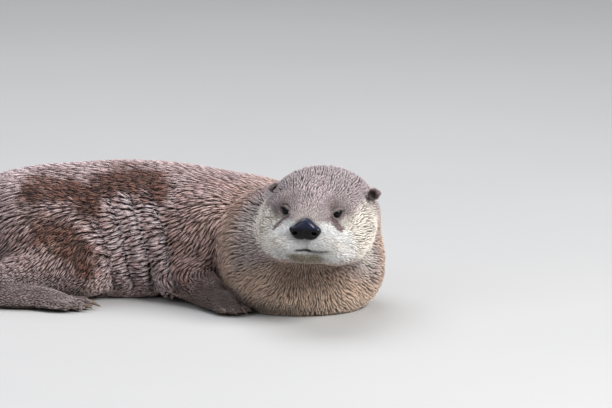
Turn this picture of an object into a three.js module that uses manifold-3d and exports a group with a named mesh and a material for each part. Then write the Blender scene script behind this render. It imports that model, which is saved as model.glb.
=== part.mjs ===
// North American river otter (Lontra canadensis), life size, lying on its belly with its head
// turned to its right. Millimetres, +Z up. The spine runs along X, rump and tail towards -X,
// and the face looks towards -Y. The origin is under the middle of the animal, on the floor.
//
// The whole animal is one implicit body: ellipsoids, tapered limbs and swept sections, blended
// where they meet and cut flat by the floor. It is turned into a faceted solid at a grid step
// that suits each part, and parted by planes and by rounded cutters along the limbs.
import * as THREE from "three";
import { mergeVertices } from "three/addons/utils/BufferGeometryUtils.js";
import Module from "manifold-3d";

const wasm = await Module();
wasm.setup();

// ---------------------------------------------------------------- driving dimensions

const GAP = 0.32; // left between neighbouring parts
const POCKET_GAP = 0.9; // left around the small forms of the head, whose facets are coarse
const BODY_STEP = 22; // grid steps, coarse on the trunk and fine on the face and feet
const LIMB_STEP = 14.5;
const HEAD_STEP = 9.7;
const NOSE_STEP = 4.2;
const SMALL_BALL = [10, 6]; // facets around and from pole to pole: ears and palms
const LARGE_BALL = [10, 7]; // and eyes and the cutters of the limbs

// The spine as stations [x, y, z, half width, half height], from the rump to the breast.
const TRUNK = [
  [-240, 4, 46, 30, 26],
  [-222, 4, 50, 50, 40],
  [-198, 4, 54, 68, 54.5],
  [-165, 4, 57, 77, 61.5],
  [-120, 4, 58, 81, 64.5],
  [-72, 4, 58, 81, 67],
  [-25, 2, 58, 80, 64.5],
  [12, -2, 57, 77, 60],
  [45, -6, 55, 74, 56],
  [74, -18, 52, 70, 52],
];
const NECK = [
  [40, -8, 56, 68, 52],
  [72, -34, 60, 70, 47],
  [96, -68, 72, 67, 48],
  [112, -98, 88, 58, 41],
  [118, -120, 100, 48, 32],
];
const TAIL = [
  [-214, 4, 47, 50, 44],
  [-246, 6, 38, 42, 37],
  [-285, 11, 29, 32.5, 29.5],
  [-335, 19, 21.5, 25, 22.5],
  [-395, 25, 16.5, 19.5, 17.5],
  [-455, 23, 12.8, 15, 13.8],
  [-515, 11, 9.6, 11, 10.6],
  [-566, -7, 6.6, 7.4, 7.4],
  [-602, -24, 3.9, 3.6, 4.5],
];
const BELLY_POWER = 2.7; // squareness of the lower half of a section, where the flesh spreads

// The throat sags on the floor in front of the breast, as wide as the shoulders, and swells up
// to the underside of the jaw.
const THROAT = { at: [98, -84, 46], radii: [79.5, 79, 58], power: 2.6, blend: 9 };
const GULLET = { at: [104, -140, 62], radii: [54, 44, 36], blend: 22 };

// The head's own frame is centred between the ears, x to the animal's left, -y to the nose.
const HEAD = { at: [116.4, -128, 118], yaw: -9.5, roll: 1.4 };
const HEAD_FORMS = [
  { name: "cranium", at: [-1, -14, -9], radii: [42.5, 50, 32.5], blend: 14 },
  { name: "occiput", at: [0, 22, -26], radii: [47, 40, 38], blend: 20 },
  { name: "forehead", at: [0, -46, -9], radii: [26, 34, 16], blend: 16 },
  { name: "bridge", at: [0, -72, -17], radii: [16, 28, 12], blend: 12 },
  { name: "brow", at: [23, -47, -5], radii: [12, 15, 8.5], blend: 10, pair: true },
  { name: "cheek", at: [31, -24, -30], radii: [25, 38, 27], blend: 18, pair: true },
  { name: "snout", at: [0, -64, -31], radii: [33, 31, 19], blend: 14 },
  { name: "whisker_pad", at: [17, -80, -34], radii: [18.5, 18.5, 14.5], blend: 8, pair: true },
  { name: "jowl", at: [24, -50, -42], radii: [24, 32, 18], blend: 14, pair: true },
  { name: "chin", at: [0, -74, -46], radii: [19, 18, 9.5], blend: 7 },
];
// The eyes and ears lie to each side of a plane set a little to the left of the head's own.
const EYE = { set: 1.4, at: [22.8, -62.9, -8.7], radius: 6 };
// The level and far end of the lips, and the corner of the block that takes the whole jaw.
const MOUTH = { height: -42, back: -34, far: [-60, -130, -100] };
// The nose pad, seen from the front: widest at the nostrils, narrow above, flat below.
const NOSE = {
  at: [0.4, -94.5, -18.9],
  halfWidth: 15.6,
  top: 10.5,
  bottom: -10.5,
  front: [19, 7, 15], // radii of the domed front
  upper: { slope: [0.66, 0.75], level: -1.5 }, // the edge from the bridge down to the widest
  lower: { slope: [0.8, -0.6], level: -2.5 }, // the edge from the widest in to the lip
  corner: 5, // rounding where the edges meet
  edge: 4, // rounding of the top and the bottom
};
const NOSTRIL = { at: [8.6, -5.4, -2.2], radii: [2.7, 4, 1.9], edge: 1.2 };
// The block of the head's own frame that parts the head from the neck and throat, leaning back
// so that it takes in the ears and the whole jaw.
const HEAD_CUT = { low: [-95, -190, -22], high: [95, -4, 50], pitch: 21 };
const EAR = {
  set: 4.7,
  at: [47, -14, 1.4],
  radii: [7.2, 4.4, 6.4],
  scoop: { at: [0.8, -4.2, 0.3], radii: [5, 3.9, 4.4] },
  splay: 34,
  lean: -8,
};

// Limbs as joints [x, y, z, radius]. Fore limbs: shoulder, elbow, wrist. Hind: hip, knee, hock.
// Each is parted from the body by an ellipsoid set on the flank.
const LIMBS = {
  foreleg_right: {
    joints: [[2, -44, 66, 38], [-20, -62, 28, 24], [8, -98, 16, 15.5]],
    part: { at: [-10, -80, 32], radii: [50, 36, 46] },
  },
  foreleg_left: {
    joints: [[58, 42, 62, 36], [40, 72, 27, 25], [90, 76, 16, 15.5]],
    part: { at: [53, 75, 31], radii: [50, 35, 46] },
  },
  hindleg_right: {
    joints: [[-158, -38, 66, 44], [-120, -60, 38, 34], [-192, -82, 20, 19]],
    part: { at: [-150, -80, 40], radii: [66, 44, 60] },
  },
  hindleg_left: {
    joints: [[-158, 46, 66, 44], [-120, 66, 38, 34], [-192, 90, 20, 19]],
    part: { at: [-150, 88, 40], radii: [66, 44, 60] },
  },
};
const LIMB_MARGIN = 12; // meshed this far past its cutter, a limb is whole where it is parted
// How widely the great masses melt into each other.
const MELT = { tail: 26, limb: 15, throat: 24, gullet: 14 };
const HEAD_REACH = 125; // beyond this from the ears the head has no say in the form

// A paw's own frame: origin on the floor under the wrist or heel, +x to the toes, +y to its left.
const FOREPAW = {
  palm: [12, 0, 9.5],
  palmRadii: [27, 14.5, 11],
  toeRoot: 20,
  toeFan: [-34, -16, 0, 16, 34],
  toeLengths: [24, 31, 33, 31, 23],
  toeRadius: 4.9,
  claw: 7,
};
const HINDPAW = {
  palm: [30, 0, 10],
  palmRadii: [50, 16, 12],
  toeRoot: 52,
  toeFan: [-27, -13, 0, 13, 26],
  toeLengths: [40, 50, 54, 50, 38],
  toeRadius: 5.6,
  claw: 8,
};
// How every toe is set in its paw, and the claw on its tip.
const TOE = { back: 14, short: 8, rootLength: 4, rootSpread: 10, rise: 3.5, splay: 0.92, taper: 0.86 };
const CLAW = { radius: 2, root: 5, droop: 14, ahead: 1.5, above: 0.6, sides: 4 };
const TOE_SIDES = 6;
const PAWS = {
  forepaw_right: { form: FOREPAW, at: [8, -104, 0], heading: -48 },
  forepaw_left: { form: FOREPAW, at: [92, 77, 0], heading: 6 },
  hindpaw_right: { form: HINDPAW, at: [-203, -95, 0], heading: -9 },
  hindpaw_left: { form: HINDPAW, at: [-203, 103, 0], heading: 11 },
};

// Where the body is parted: the neck from the shoulders by an upright plane across the bend,
// the throat from the neck by its height, and the trunk and tail by their places along X.
const NECK_CUT = { at: [62, -30, 0], normal: [-0.6, 0.8, 0] };
const THROAT_TOP = 74;
const TRUNK_CUTS = [-52, -134];
const TAIL_CUTS = { root: [-232, 0, 30], lean: 0.25, middle: -285, tip: -445, before: 40 };
// Steps taken from one station to the next: along the body, and along the rings of the tail.
const SPANS = { body: 5, tail: 2 };
const TAIL_SIDES = 10;

// The boxes in which the forms are followed, reaching below the floor that cuts them.
const BULK_BOX = { low: [-330, -190, -14], high: [182, 140, 150] };
const HEAD_BOX = { low: [40, -250, 30], high: [190, -60, 160] };
const NOSE_REACH = [20, 14, 16];

// ---------------------------------------------------------------- distance functions

const rad = THREE.MathUtils.degToRad;
const SURE = 0.6; // the share of a distance that can be walked without meeting the surface
const PROBE = 0.05; // the length over which a slope is felt
const FLAT = 0.05; // a slope too slight to follow
const STRIDE = 2; // the farthest a vertex goes along each axis in one step
const WELD = 1e-4; // points closer than this are one vertex
const PASSES = 3; // steps each vertex takes onto the surface

// Smooth union: the larger the blend, the wider the fillet between two forms.
function blended(a, b, blend) {
  const h = Math.max(blend - Math.abs(a - b), 0) / blend;
  return Math.min(a, b) - h * h * blend * 0.25;
}

// Smooth overlap: what two forms have in common, with the edge between them rounded.
function common(a, b, blend) {
  return -blended(-a, -b, blend);
}

// Distance to an ellipsoid, true to first order near its surface. Below its centre the
// section may be squarer, by a power above 2.
function ellipsoid(x, y, z, [a, b, c], power = 2) {
  if (power === 2 || z > 0) {
    const k = Math.hypot(x / a, y / b, z / c);
    const g = Math.hypot(x / (a * a), y / (b * b), z / (c * c));
    return g > 1e-9 ? (k * (k - 1)) / g : -Math.min(a, b, c);
  }
  const flat = Math.hypot(x / a, y / b);
  const k = (flat ** power + Math.abs(z / c) ** power) ** (1 / power);
  return Math.hypot(x, y, z) * (1 - 1 / Math.max(k, 1e-6));
}

// Distance to a straight limb between two joints, whose radius tapers evenly.
function taper(x, y, z, [ax, ay, az, ar], [bx, by, bz, br]) {
  const [dx, dy, dz] = [bx - ax, by - ay, bz - az];
  const along = (x - ax) * dx + (y - ay) * dy + (z - az) * dz;
  const t = THREE.MathUtils.clamp(along / (dx * dx + dy * dy + dz * dz), 0, 1);
  const off = Math.hypot(x - ax - t * dx, y - ay - t * dy, z - az - t * dz);
  return off - (ar + t * (br - ar));
}

// Points along a Catmull-Rom curve through stations of any number of values.
function alongStations(stations, perSpan) {
  const points = [];
  const last = stations.length - 1;
  for (let i = 0; i < last; i++) {
    const [p0, p1, p2, p3] = [-1, 0, 1, 2].map((k) => stations[Math.min(Math.max(i + k, 0), last)]);
    for (let s = 0; s < perSpan; s++) {
      const t = s / perSpan;
      points.push(
        p1.map(
          (v, j) =>
            v +
            0.5 * t * (p2[j] - p0[j] +
              t * (2 * p0[j] - 5 * v + 4 * p2[j] - p3[j] +
                t * (3 * (v - p2[j]) + p3[j] - p0[j]))),
        ),
      );
    }
  }
  points.push(stations[last]);
  return points;
}

// A sweep of upright elliptical sections along a spine, rounded at its ends.
function sweepOf(stations, power = 2) {
  const pts = alongStations(stations, SPANS.body);
  return (x, y, z) => {
    let best = Infinity;
    let at = 0;
    let share = 0;
    for (let i = 0; i + 1 < pts.length; i++) {
      const p = pts[i];
      const q = pts[i + 1];
      const dx = q[0] - p[0];
      const dy = q[1] - p[1];
      const dz = q[2] - p[2];
      const along = (x - p[0]) * dx + (y - p[1]) * dy + (z - p[2]) * dz;
      const t = Math.min(Math.max(along / (dx * dx + dy * dy + dz * dz), 0), 1);
      const gap = (x - p[0] - t * dx) ** 2 + (y - p[1] - t * dy) ** 2 + (z - p[2] - t * dz) ** 2;
      if (gap < best) {
        best = gap;
        at = i;
        share = t;
      }
    }
    const [p, q] = [pts[at], pts[at + 1]];
    const c = p.map((v, j) => v + share * (q[j] - v));
    const run = Math.hypot(q[0] - p[0], q[1] - p[1]);
    const [fx, fy] = [(q[0] - p[0]) / run, (q[1] - p[1]) / run];
    const forward = (x - c[0]) * fx + (y - c[1]) * fy;
    const side = (x - c[0]) * fy - (y - c[1]) * fx;
    return ellipsoid(side, forward, z - c[2], [c[3], Math.min(c[3], c[4]), c[4]], power);
  };
}

const trunk = sweepOf(TRUNK, BELLY_POWER);
const neck = sweepOf(NECK);
const tail = sweepOf(TAIL);

const headTurn = new THREE.Matrix4()
  .makeRotationZ(rad(HEAD.yaw))
  .multiply(new THREE.Matrix4().makeRotationY(rad(HEAD.roll)))
  .setPosition(...HEAD.at);
const toHead = headTurn.clone().invert();

function head(x, y, z) {
  const m = toHead.elements;
  const px = m[0] * x + m[4] * y + m[8] * z + m[12];
  const py = m[1] * x + m[5] * y + m[9] * z + m[13];
  const pz = m[2] * x + m[6] * y + m[10] * z + m[14];
  let d = Infinity;
  for (const { at, radii, blend, pair } of HEAD_FORMS) {
    for (const side of pair ? [1, -1] : [1]) {
      const form = ellipsoid(px - side * at[0], py - at[1], pz - at[2], radii);
      d = d === Infinity ? form : blended(d, form, blend);
    }
  }
  return d;
}

// The whole animal but for its paws, before the floor flattens it.
function otter(x, y, z) {
  let d = blended(trunk(x, y, z), tail(x, y, z), MELT.tail);
  for (const { joints } of Object.values(LIMBS)) {
    for (let i = 0; i + 1 < joints.length; i++) {
      d = blended(d, taper(x, y, z, joints[i], joints[i + 1]), MELT.limb);
    }
  }
  const [bx, by, bz] = THROAT.at;
  const throat = ellipsoid(x - bx, y - by, z - bz, THROAT.radii, THROAT.power);
  let front = blended(neck(x, y, z), throat, MELT.throat);
  const skull = Math.hypot(x - HEAD.at[0], y - HEAD.at[1], z - HEAD.at[2]) - HEAD_REACH;
  if (skull < front + GULLET.blend) {
    const [gx, gy, gz] = GULLET.at;
    const gullet = ellipsoid(x - gx, y - gy, z - gz, GULLET.radii);
    front = blended(front, blended(gullet, head(x, y, z), MELT.gullet), GULLET.blend);
  }
  return blended(d, front, THROAT.blend);
}

// ---------------------------------------------------------------- from distance to solid

// Surface nets: one vertex in each grid cell that the surface crosses, one quad about each
// grid edge that it crosses, and every vertex then moved onto the surface itself.
function netOf(distance, low, high, step) {
  const n = [0, 1, 2].map((k) => Math.ceil((high[k] - low[k]) / step) + 1);
  const stride = [1, n[0], n[0] * n[1]];
  const values = new Float32Array(n[0] * n[1] * n[2]);
  const place = (i, k) => low[k] + i * step;
  for (let k = 0, v = 0; k < n[2]; k++) {
    for (let j = 0; j < n[1]; j++) {
      for (let i = 0; i < n[0]; i++, v++) {
        const d = distance(place(i, 0), place(j, 1), place(k, 2));
        values[v] = d;
        // Where the surface is far away, the next few grid points lie on the same side of it.
        for (let clear = SURE * Math.abs(d) - step; clear > step && i + 1 < n[0]; clear -= step) {
          i++;
          v++;
          values[v] = d;
        }
      }
    }
  }
  const cellVertex = new Int32Array(values.length).fill(-1);
  const vertices = [];
  const corners = [...Array(8).keys()].map((c) => [c & 1, (c >> 1) & 1, c >> 2]);
  const edges = corners.flatMap((a, ia) =>
    corners
      .map((b, ib) => [ia, ib, Math.abs(a[0] - b[0]) + Math.abs(a[1] - b[1]) + Math.abs(a[2] - b[2])])
      .filter(([p, q, apart]) => p < q && apart === 1),
  );
  const offset = corners.map(([a, b, c]) => a + b * stride[1] + c * stride[2]);
  for (let k = 0; k + 1 < n[2]; k++) {
    for (let j = 0; j + 1 < n[1]; j++) {
      for (let i = 0; i + 1 < n[0]; i++) {
        const cell = i + j * stride[1] + k * stride[2];
        const sum = [0, 0, 0, 0];
        for (const [p, q] of edges) {
          const [a, b] = [values[cell + offset[p]], values[cell + offset[q]]];
          if (a < 0 === b < 0) continue;
          const t = a / (a - b);
          for (let m = 0; m < 3; m++) {
            sum[m] += corners[p][m] + t * (corners[q][m] - corners[p][m]);
          }
          sum[3]++;
        }
        if (!sum[3]) continue;
        cellVertex[cell] = vertices.length;
        vertices.push([i, j, k].map((c, m) => place(c + sum[m] / sum[3], m)));
      }
    }
  }
  const index = [];
  const at = [0, 0, 0];
  for (at[2] = 1; at[2] + 1 < n[2]; at[2]++) {
    for (at[1] = 1; at[1] + 1 < n[1]; at[1]++) {
      for (at[0] = 1; at[0] + 1 < n[0]; at[0]++) {
        const grid = at[0] + at[1] * stride[1] + at[2] * stride[2];
        for (let m = 0; m < 3; m++) {
          const inside = values[grid] < 0;
          if (inside === values[grid + stride[m]] < 0) continue;
          const [u, v] = [stride[(m + 1) % 3], stride[(m + 2) % 3]];
          const quad = [grid - u - v, grid - v, grid, grid - u].map((cell) => cellVertex[cell]);
          if (!inside) quad.reverse();
          index.push(quad[0], quad[1], quad[2], quad[0], quad[2], quad[3]);
        }
      }
    }
  }
  for (const p of vertices) {
    for (let pass = 0; pass < PASSES; pass++) {
      toSurface(distance, p);
    }
  }
  const geometry = new THREE.BufferGeometry();
  geometry.setAttribute("position", new THREE.Float32BufferAttribute(vertices.flat(), 3));
  return geometry.setIndex(index);
}

// Moves a point one step towards the surface along the distance's own slope.
function toSurface(distance, p) {
  const d = distance(...p);
  const slope = [0, 1, 2].map((k) => {
    const q = [...p];
    q[k] += PROBE;
    return (distance(...q) - d) / PROBE;
  });
  const steep = slope[0] ** 2 + slope[1] ** 2 + slope[2] ** 2;
  if (steep < FLAT) return;
  for (let k = 0; k < 3; k++) {
    p[k] -= THREE.MathUtils.clamp((d * slope[k]) / steep, -STRIDE, STRIDE);
  }
}

function solidOf(geometry) {
  const bare = geometry.clone();
  bare.deleteAttribute("normal");
  bare.deleteAttribute("uv");
  const merged = mergeVertices(bare, WELD);
  return new wasm.Manifold(
    new wasm.Mesh({
      numProp: 3,
      vertProperties: merged.attributes.position.array,
      triVerts: new Uint32Array(merged.index.array),
    }),
  );
}

function geometryOf(solid) {
  const { numProp, vertProperties, triVerts } = solid.getMesh();
  const positions = new Float32Array((vertProperties.length / numProp) * 3);
  for (let i = 0; i < positions.length / 3; i++) {
    positions.set(vertProperties.subarray(i * numProp, i * numProp + 3), i * 3);
  }
  return new THREE.BufferGeometry()
    .setAttribute("position", new THREE.BufferAttribute(positions, 3))
    .setIndex(new THREE.BufferAttribute(triVerts, 1));
}

// The form inside a box, cut flat by the floor.
function solidWithin(distance, low, high, step) {
  const pad = 2 * step;
  const boxed = (x, y, z) =>
    Math.max(
      distance(x, y, z), low[0] - x, x - high[0], low[1] - y, y - high[1], low[2] - z, z - high[2],
    );
  const [bottom, top] = [low.map((v) => v - pad), high.map((v) => v + pad)];
  return solidOf(netOf(boxed, bottom, top, step)).trimByPlane([0, 0, 1], 0);
}

// ---------------------------------------------------------------- parting

// Splits a solid at a plane through a point and leaves the gap between the two sides.
function parted(solid, normal, point) {
  const n = new THREE.Vector3(...normal).normalize();
  const at = n.dot(new THREE.Vector3(...point));
  return [
    solid.trimByPlane(n.toArray(), at + GAP / 2),
    solid.trimByPlane(n.clone().negate().toArray(), -at + GAP / 2),
  ];
}

function ovalOf([x, y, z], radii, grow = 0) {
  const oval = new THREE.SphereGeometry(1, ...LARGE_BALL);
  oval.scale(...radii.map((r) => r + grow)).translate(x, y, z);
  return solidOf(oval);
}

// A closed block from corner to corner of the head's own frame, pitched about its far top edge.
function headBlock(low, high, pitch = 0) {
  const size = high.map((v, k) => v - low[k]);
  const block = new THREE.BoxGeometry(...size);
  block.translate(...low.map((v, k) => v + size[k] / 2));
  block.translate(0, -high[1], -high[2]).rotateX(rad(pitch)).translate(0, high[1], high[2]);
  return solidOf(block.applyMatrix4(headTurn));
}

// A form given in the head's own frame, as a solid in the animal's.
function headForm(distance, low, high, step) {
  return solidOf(netOf(distance, low, high, step).applyMatrix4(headTurn));
}

// The nose pad: a rounded shield, narrow above and flat below, with a nostril to each side.
function nosePad(x, y, z) {
  const { at, halfWidth, top, bottom, front, corner, edge } = NOSE;
  const [px, py, pz] = [Math.abs(x - at[0]), y - at[1], z - at[2]];
  const beyond = ({ slope, level }) => slope[0] * (px - halfWidth) + slope[1] * (pz - level);
  let d = common(beyond(NOSE.upper), beyond(NOSE.lower), corner);
  d = common(d, pz - top, edge);
  d = common(d, bottom - pz, edge);
  d = common(d, ellipsoid(px, py, pz, front), corner);
  const [nx, ny, nz] = NOSTRIL.at;
  const nostril = ellipsoid(px - nx, py - ny, pz - nz, NOSTRIL.radii);
  return common(d, -nostril, NOSTRIL.edge);
}

// An ear: a thick round leaf, scooped out in front unless it is grown to make its pocket.
function earOf(side, grow = 0) {
  const turn = new THREE.Matrix4()
    .makeTranslation(EAR.set + side * EAR.at[0], EAR.at[1], EAR.at[2])
    .multiply(new THREE.Matrix4().makeRotationZ(rad(-side * EAR.splay)))
    .multiply(new THREE.Matrix4().makeRotationX(rad(EAR.lean)))
    .premultiply(headTurn);
  const oval = (at, radii) => {
    const ball = new THREE.SphereGeometry(1, ...SMALL_BALL).rotateX(rad(90));
    ball.scale(...radii).translate(...at);
    return solidOf(ball.applyMatrix4(turn));
  };
  const leaf = oval([0, 0, 0], EAR.radii.map((r) => r + grow));
  const [scoopX, scoopY, scoopZ] = EAR.scoop.at;
  return grow ? leaf : leaf.subtract(oval([side * scoopX, scoopY, scoopZ], EAR.scoop.radii));
}

// The straight line of each toe, in the paw's own frame: [root, tip] with a radius at the end.
function toesOf({ toeRoot, toeFan, toeLengths, toeRadius }) {
  return toeFan.map((degrees, i) => {
    const [c, s] = [Math.cos(rad(degrees)), Math.sin(rad(degrees))];
    const [near, far] = [TOE.rootLength, toeLengths[i]];
    const from = [toeRoot - TOE.back + near * c, TOE.rootSpread * s, toeRadius + TOE.rise, toeRadius];
    const to = [toeRoot - TOE.short + far * c, TOE.splay * far * s, toeRadius, TOE.taper * toeRadius];
    return [from, to];
  });
}

// A tapered limb between two joints with rounded ends, as a closed lathe.
function rod(from, to, grow = 0) {
  const [a, b] = [new THREE.Vector3(...from), new THREE.Vector3(...to)];
  const [ra, rb, length] = [from[3] + grow, to[3] + grow, a.distanceTo(b)];
  const outline = [
    [0, -ra], [ra, 0], [rb, length], [rb * Math.SQRT1_2, length + rb * Math.SQRT1_2], [0, length + rb],
  ];
  const profile = outline.map(([r, h]) => new THREE.Vector2(r, h));
  const lathe = new THREE.LatheGeometry(profile, TOE_SIDES);
  const lie = b.clone().sub(a).normalize();
  const turn = new THREE.Quaternion().setFromUnitVectors(new THREE.Vector3(0, 1, 0), lie);
  return lathe.applyQuaternion(turn).translate(...a.toArray());
}

// A paw: a palm or sole and five toes with their claws, grown to make the pocket it rests in.
function pawOf({ form, at, heading }, grow = 0) {
  const sole = new THREE.SphereGeometry(1, ...SMALL_BALL).rotateX(rad(90));
  sole.scale(...form.palmRadii.map((r) => r + grow)).translate(...form.palm);
  const pieces = [sole];
  for (const [from, to] of toesOf(form)) {
    pieces.push(rod(from, to, grow));
    // A cone is grown twice as far about its flanks and four times along, as its sides slope.
    const length = form.claw + CLAW.root + 4 * grow;
    const claw = new THREE.ConeGeometry(CLAW.radius + 2 * grow, length, CLAW.sides);
    claw.translate(0, form.claw / 2, 0).rotateZ(rad(-90)).rotateY(rad(CLAW.droop));
    claw.rotateZ(Math.atan2(to[1] - from[1], to[0] - from[0]));
    pieces.push(claw.translate(to[0] + CLAW.ahead, to[1], to[2] + CLAW.above));
  }
  const solids = pieces.map((each) => solidOf(each.rotateZ(rad(heading)).translate(...at)));
  return wasm.Manifold.union(solids).trimByPlane([0, 0, 1], 0);
}

// The tail from a little before a value of X to its tip, swept through its stations.
function tailBeyond(from) {
  const sides = TAIL_SIDES;
  const rings = alongStations(TAIL, SPANS.tail).filter(([x]) => x <= from + TAIL_CUTS.before);
  const positions = [];
  const index = [];
  rings.forEach(([x, y, z, halfWidth, halfHeight], i) => {
    const [before, after] = [rings[Math.max(i - 1, 0)], rings[Math.min(i + 1, rings.length - 1)]];
    const run = Math.hypot(after[0] - before[0], after[1] - before[1]);
    const [sx, sy] = [-(after[1] - before[1]) / run, (after[0] - before[0]) / run];
    for (let j = 0; j < sides; j++) {
      const turn = (j / sides) * 2 * Math.PI;
      const [across, up] = [halfWidth * Math.cos(turn), halfHeight * Math.sin(turn)];
      positions.push(x + sx * across, y + sy * across, z + up);
    }
  });
  for (let i = 0; i + 1 < rings.length; i++) {
    for (let j = 0; j < sides; j++) {
      const [a, b] = [i * sides + j, i * sides + ((j + 1) % sides)];
      index.push(a, b, a + sides, b, b + sides, a + sides);
    }
  }
  const last = (rings.length - 1) * sides;
  for (let j = 1; j + 1 < sides; j++) {
    index.push(0, j + 1, j, last, last + j, last + j + 1);
  }
  const geometry = new THREE.BufferGeometry();
  geometry.setAttribute("position", new THREE.Float32BufferAttribute(positions, 3)).setIndex(index);
  return solidOf(geometry).trimByPlane([0, 0, 1], 0);
}

// The largest of the bodies a solid holds: a cut can shave a sliver off a facet.
function largest(solid) {
  return solid.decompose().reduce((a, b) => (a.volume() > b.volume() ? a : b));
}

// The furred bulk, less the limbs that are parted from it and the pockets that take the paws.
let bulk = solidWithin(otter, BULK_BOX.low, BULK_BOX.high, BODY_STEP);
const limbs = {};
for (const [name, { part }] of Object.entries(LIMBS)) {
  const [low, high] = [-1, 1].map((way) => part.at.map((v, k) => v + way * (part.radii[k] + LIMB_MARGIN)));
  low[2] = BULK_BOX.low[2];
  const flesh = solidWithin(otter, low, high, LIMB_STEP);
  limbs[name] = flesh.intersect(ovalOf(part.at, part.radii, -GAP));
  bulk = bulk.subtract(ovalOf(part.at, part.radii));
}
const paws = {};
for (const [name, each] of Object.entries(PAWS)) {
  const pocket = pawOf(each, GAP);
  paws[name] = pawOf(each);
  for (const limb of Object.keys(limbs)) limbs[limb] = limbs[limb].subtract(pocket);
  bulk = bulk.subtract(pocket);
}

// The bulk behind the head, parted into lengths.
const headless = bulk.subtract(headBlock(HEAD_CUT.low, HEAD_CUT.high, HEAD_CUT.pitch));
const [torso, front] = parted(headless, NECK_CUT.normal, NECK_CUT.at);
const [neckPart, throatPart] = parted(front, [0, 0, 1], [0, 0, THROAT_TOP]);
const [shoulders, hinder] = parted(torso, [1, 0, 0], [TRUNK_CUTS[0], 0, 0]);
const [loin, hindmost] = parted(hinder, [1, 0, 0], [TRUNK_CUTS[1], 0, 0]);
const [rump, tailStart] = parted(hindmost, [1, 0, TAIL_CUTS.lean], TAIL_CUTS.root);
const [tailRoot] = parted(tailStart, [1, 0, 0], [TAIL_CUTS.middle, 0, 0]);
const [, tailRest] = parted(tailBeyond(TAIL_CUTS.middle), [1, 0, 0], [TAIL_CUTS.middle, 0, 0]);
const [tailMiddle, tailTip] = parted(tailRest, [1, 0, 0], [TAIL_CUTS.tip, 0, 0]);

// The head, with the jaw parted at the lips and pockets for the eyes, ears and nose pad.
const fineHead = solidWithin(otter, HEAD_BOX.low, HEAD_BOX.high, HEAD_STEP);
const inside = [HEAD_CUT.low.map((v) => v + GAP), HEAD_CUT.high.map((v) => v - GAP)];
let skull = fineHead.intersect(headBlock(inside[0], inside[1], HEAD_CUT.pitch));
const jawLow = MOUTH.far;
const jawHigh = [-MOUTH.far[0], MOUTH.back, MOUTH.height];
const jaw = skull.intersect(headBlock(jawLow, jawHigh.map((v, k) => (k ? v - GAP : v))));
skull = skull.subtract(headBlock(jawLow, jawHigh));
const features = {};
for (const [hand, side] of [["right", -1], ["left", 1]]) {
  const eyeAt = new THREE.Vector3(EYE.set + side * EYE.at[0], EYE.at[1], EYE.at[2]).applyMatrix4(headTurn);
  const ball = [EYE.radius, EYE.radius, EYE.radius];
  features[`eye_${hand}`] = ovalOf(eyeAt.toArray(), ball, -GAP);
  skull = skull.subtract(ovalOf(eyeAt.toArray(), ball));
  features[`ear_${hand}`] = earOf(side);
  skull = skull.subtract(earOf(side, GAP));
}
const [noseLow, noseHigh] = [-1, 1].map((way) => NOSE.at.map((v, k) => v + way * NOSE_REACH[k]));
const pad = headForm(nosePad, noseLow, noseHigh, NOSE_STEP);
const padPocket = (x, y, z) => nosePad(x, y, z) - POCKET_GAP;
skull = skull.subtract(headForm(padPocket, noseLow, noseHigh, NOSE_STEP));

// ---------------------------------------------------------------- the animal

const COLOURS = {
  back: ["#7d6a60", 0.5],
  flank: ["#74604f", 0.5],
  face: ["#a3917e", 0.6],
  chin: ["#d2c8b4", 0.65],
  throat: ["#94806a", 0.55],
  limb: ["#6c5749", 0.5],
  sole: ["#574538", 0.5],
  ear: ["#4c3c34", 0.65],
  nose: ["#14151a", 0.3],
  eye: ["#120d0b", 0.08],
};
const parts = [
  ["head", skull, "face"],
  ["lower_jaw", jaw, "chin"],
  ["nose_pad", pad, "nose"],
  ["eye_right", features.eye_right, "eye"],
  ["eye_left", features.eye_left, "eye"],
  ["ear_right", features.ear_right, "ear"],
  ["ear_left", features.ear_left, "ear"],
  ["neck", neckPart, "back"],
  ["throat", throatPart, "throat"],
  ["shoulders", shoulders, "back"],
  ["loin", loin, "flank"],
  ["rump", rump, "back"],
  ["tail_root", tailRoot, "back"],
  ["tail_middle", tailMiddle, "back"],
  ["tail_tip", tailTip, "back"],
  ...Object.entries(limbs).map(([name, solid]) => [name, solid, "limb"]),
  ...Object.entries(paws).map(([name, solid]) => [name, solid, "sole"]),
];

const otterGroup = new THREE.Group();
for (const [name, solid, finish] of parts) {
  const [color, roughness] = COLOURS[finish];
  const material = new THREE.MeshStandardMaterial({ color, roughness, metalness: 0 });
  const mesh = new THREE.Mesh(geometryOf(largest(solid)), material);
  mesh.name = name;
  otterGroup.add(mesh);
}

// The origin goes to the floor under the middle of the animal.
const middle = new THREE.Box3().setFromObject(otterGroup).getCenter(new THREE.Vector3());
otterGroup.position.set(-middle.x, -middle.y, 0);

const model = new THREE.Group();
model.add(otterGroup);
export default model;
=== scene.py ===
"""A river otter at rest: skin, wet coat, face and feet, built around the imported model.

Lengths are in millimetres in the animal's drawing frame until a mesh is made: +X to the breast,
-X to the tail, -Y the way the face looks, +Z up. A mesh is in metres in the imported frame.
"""

import logging
import math
from collections.abc import Callable
from dataclasses import dataclass, field
from enum import Enum

import bpy
import numpy as np
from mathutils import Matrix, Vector
from mathutils.kdtree import KDTree


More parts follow.
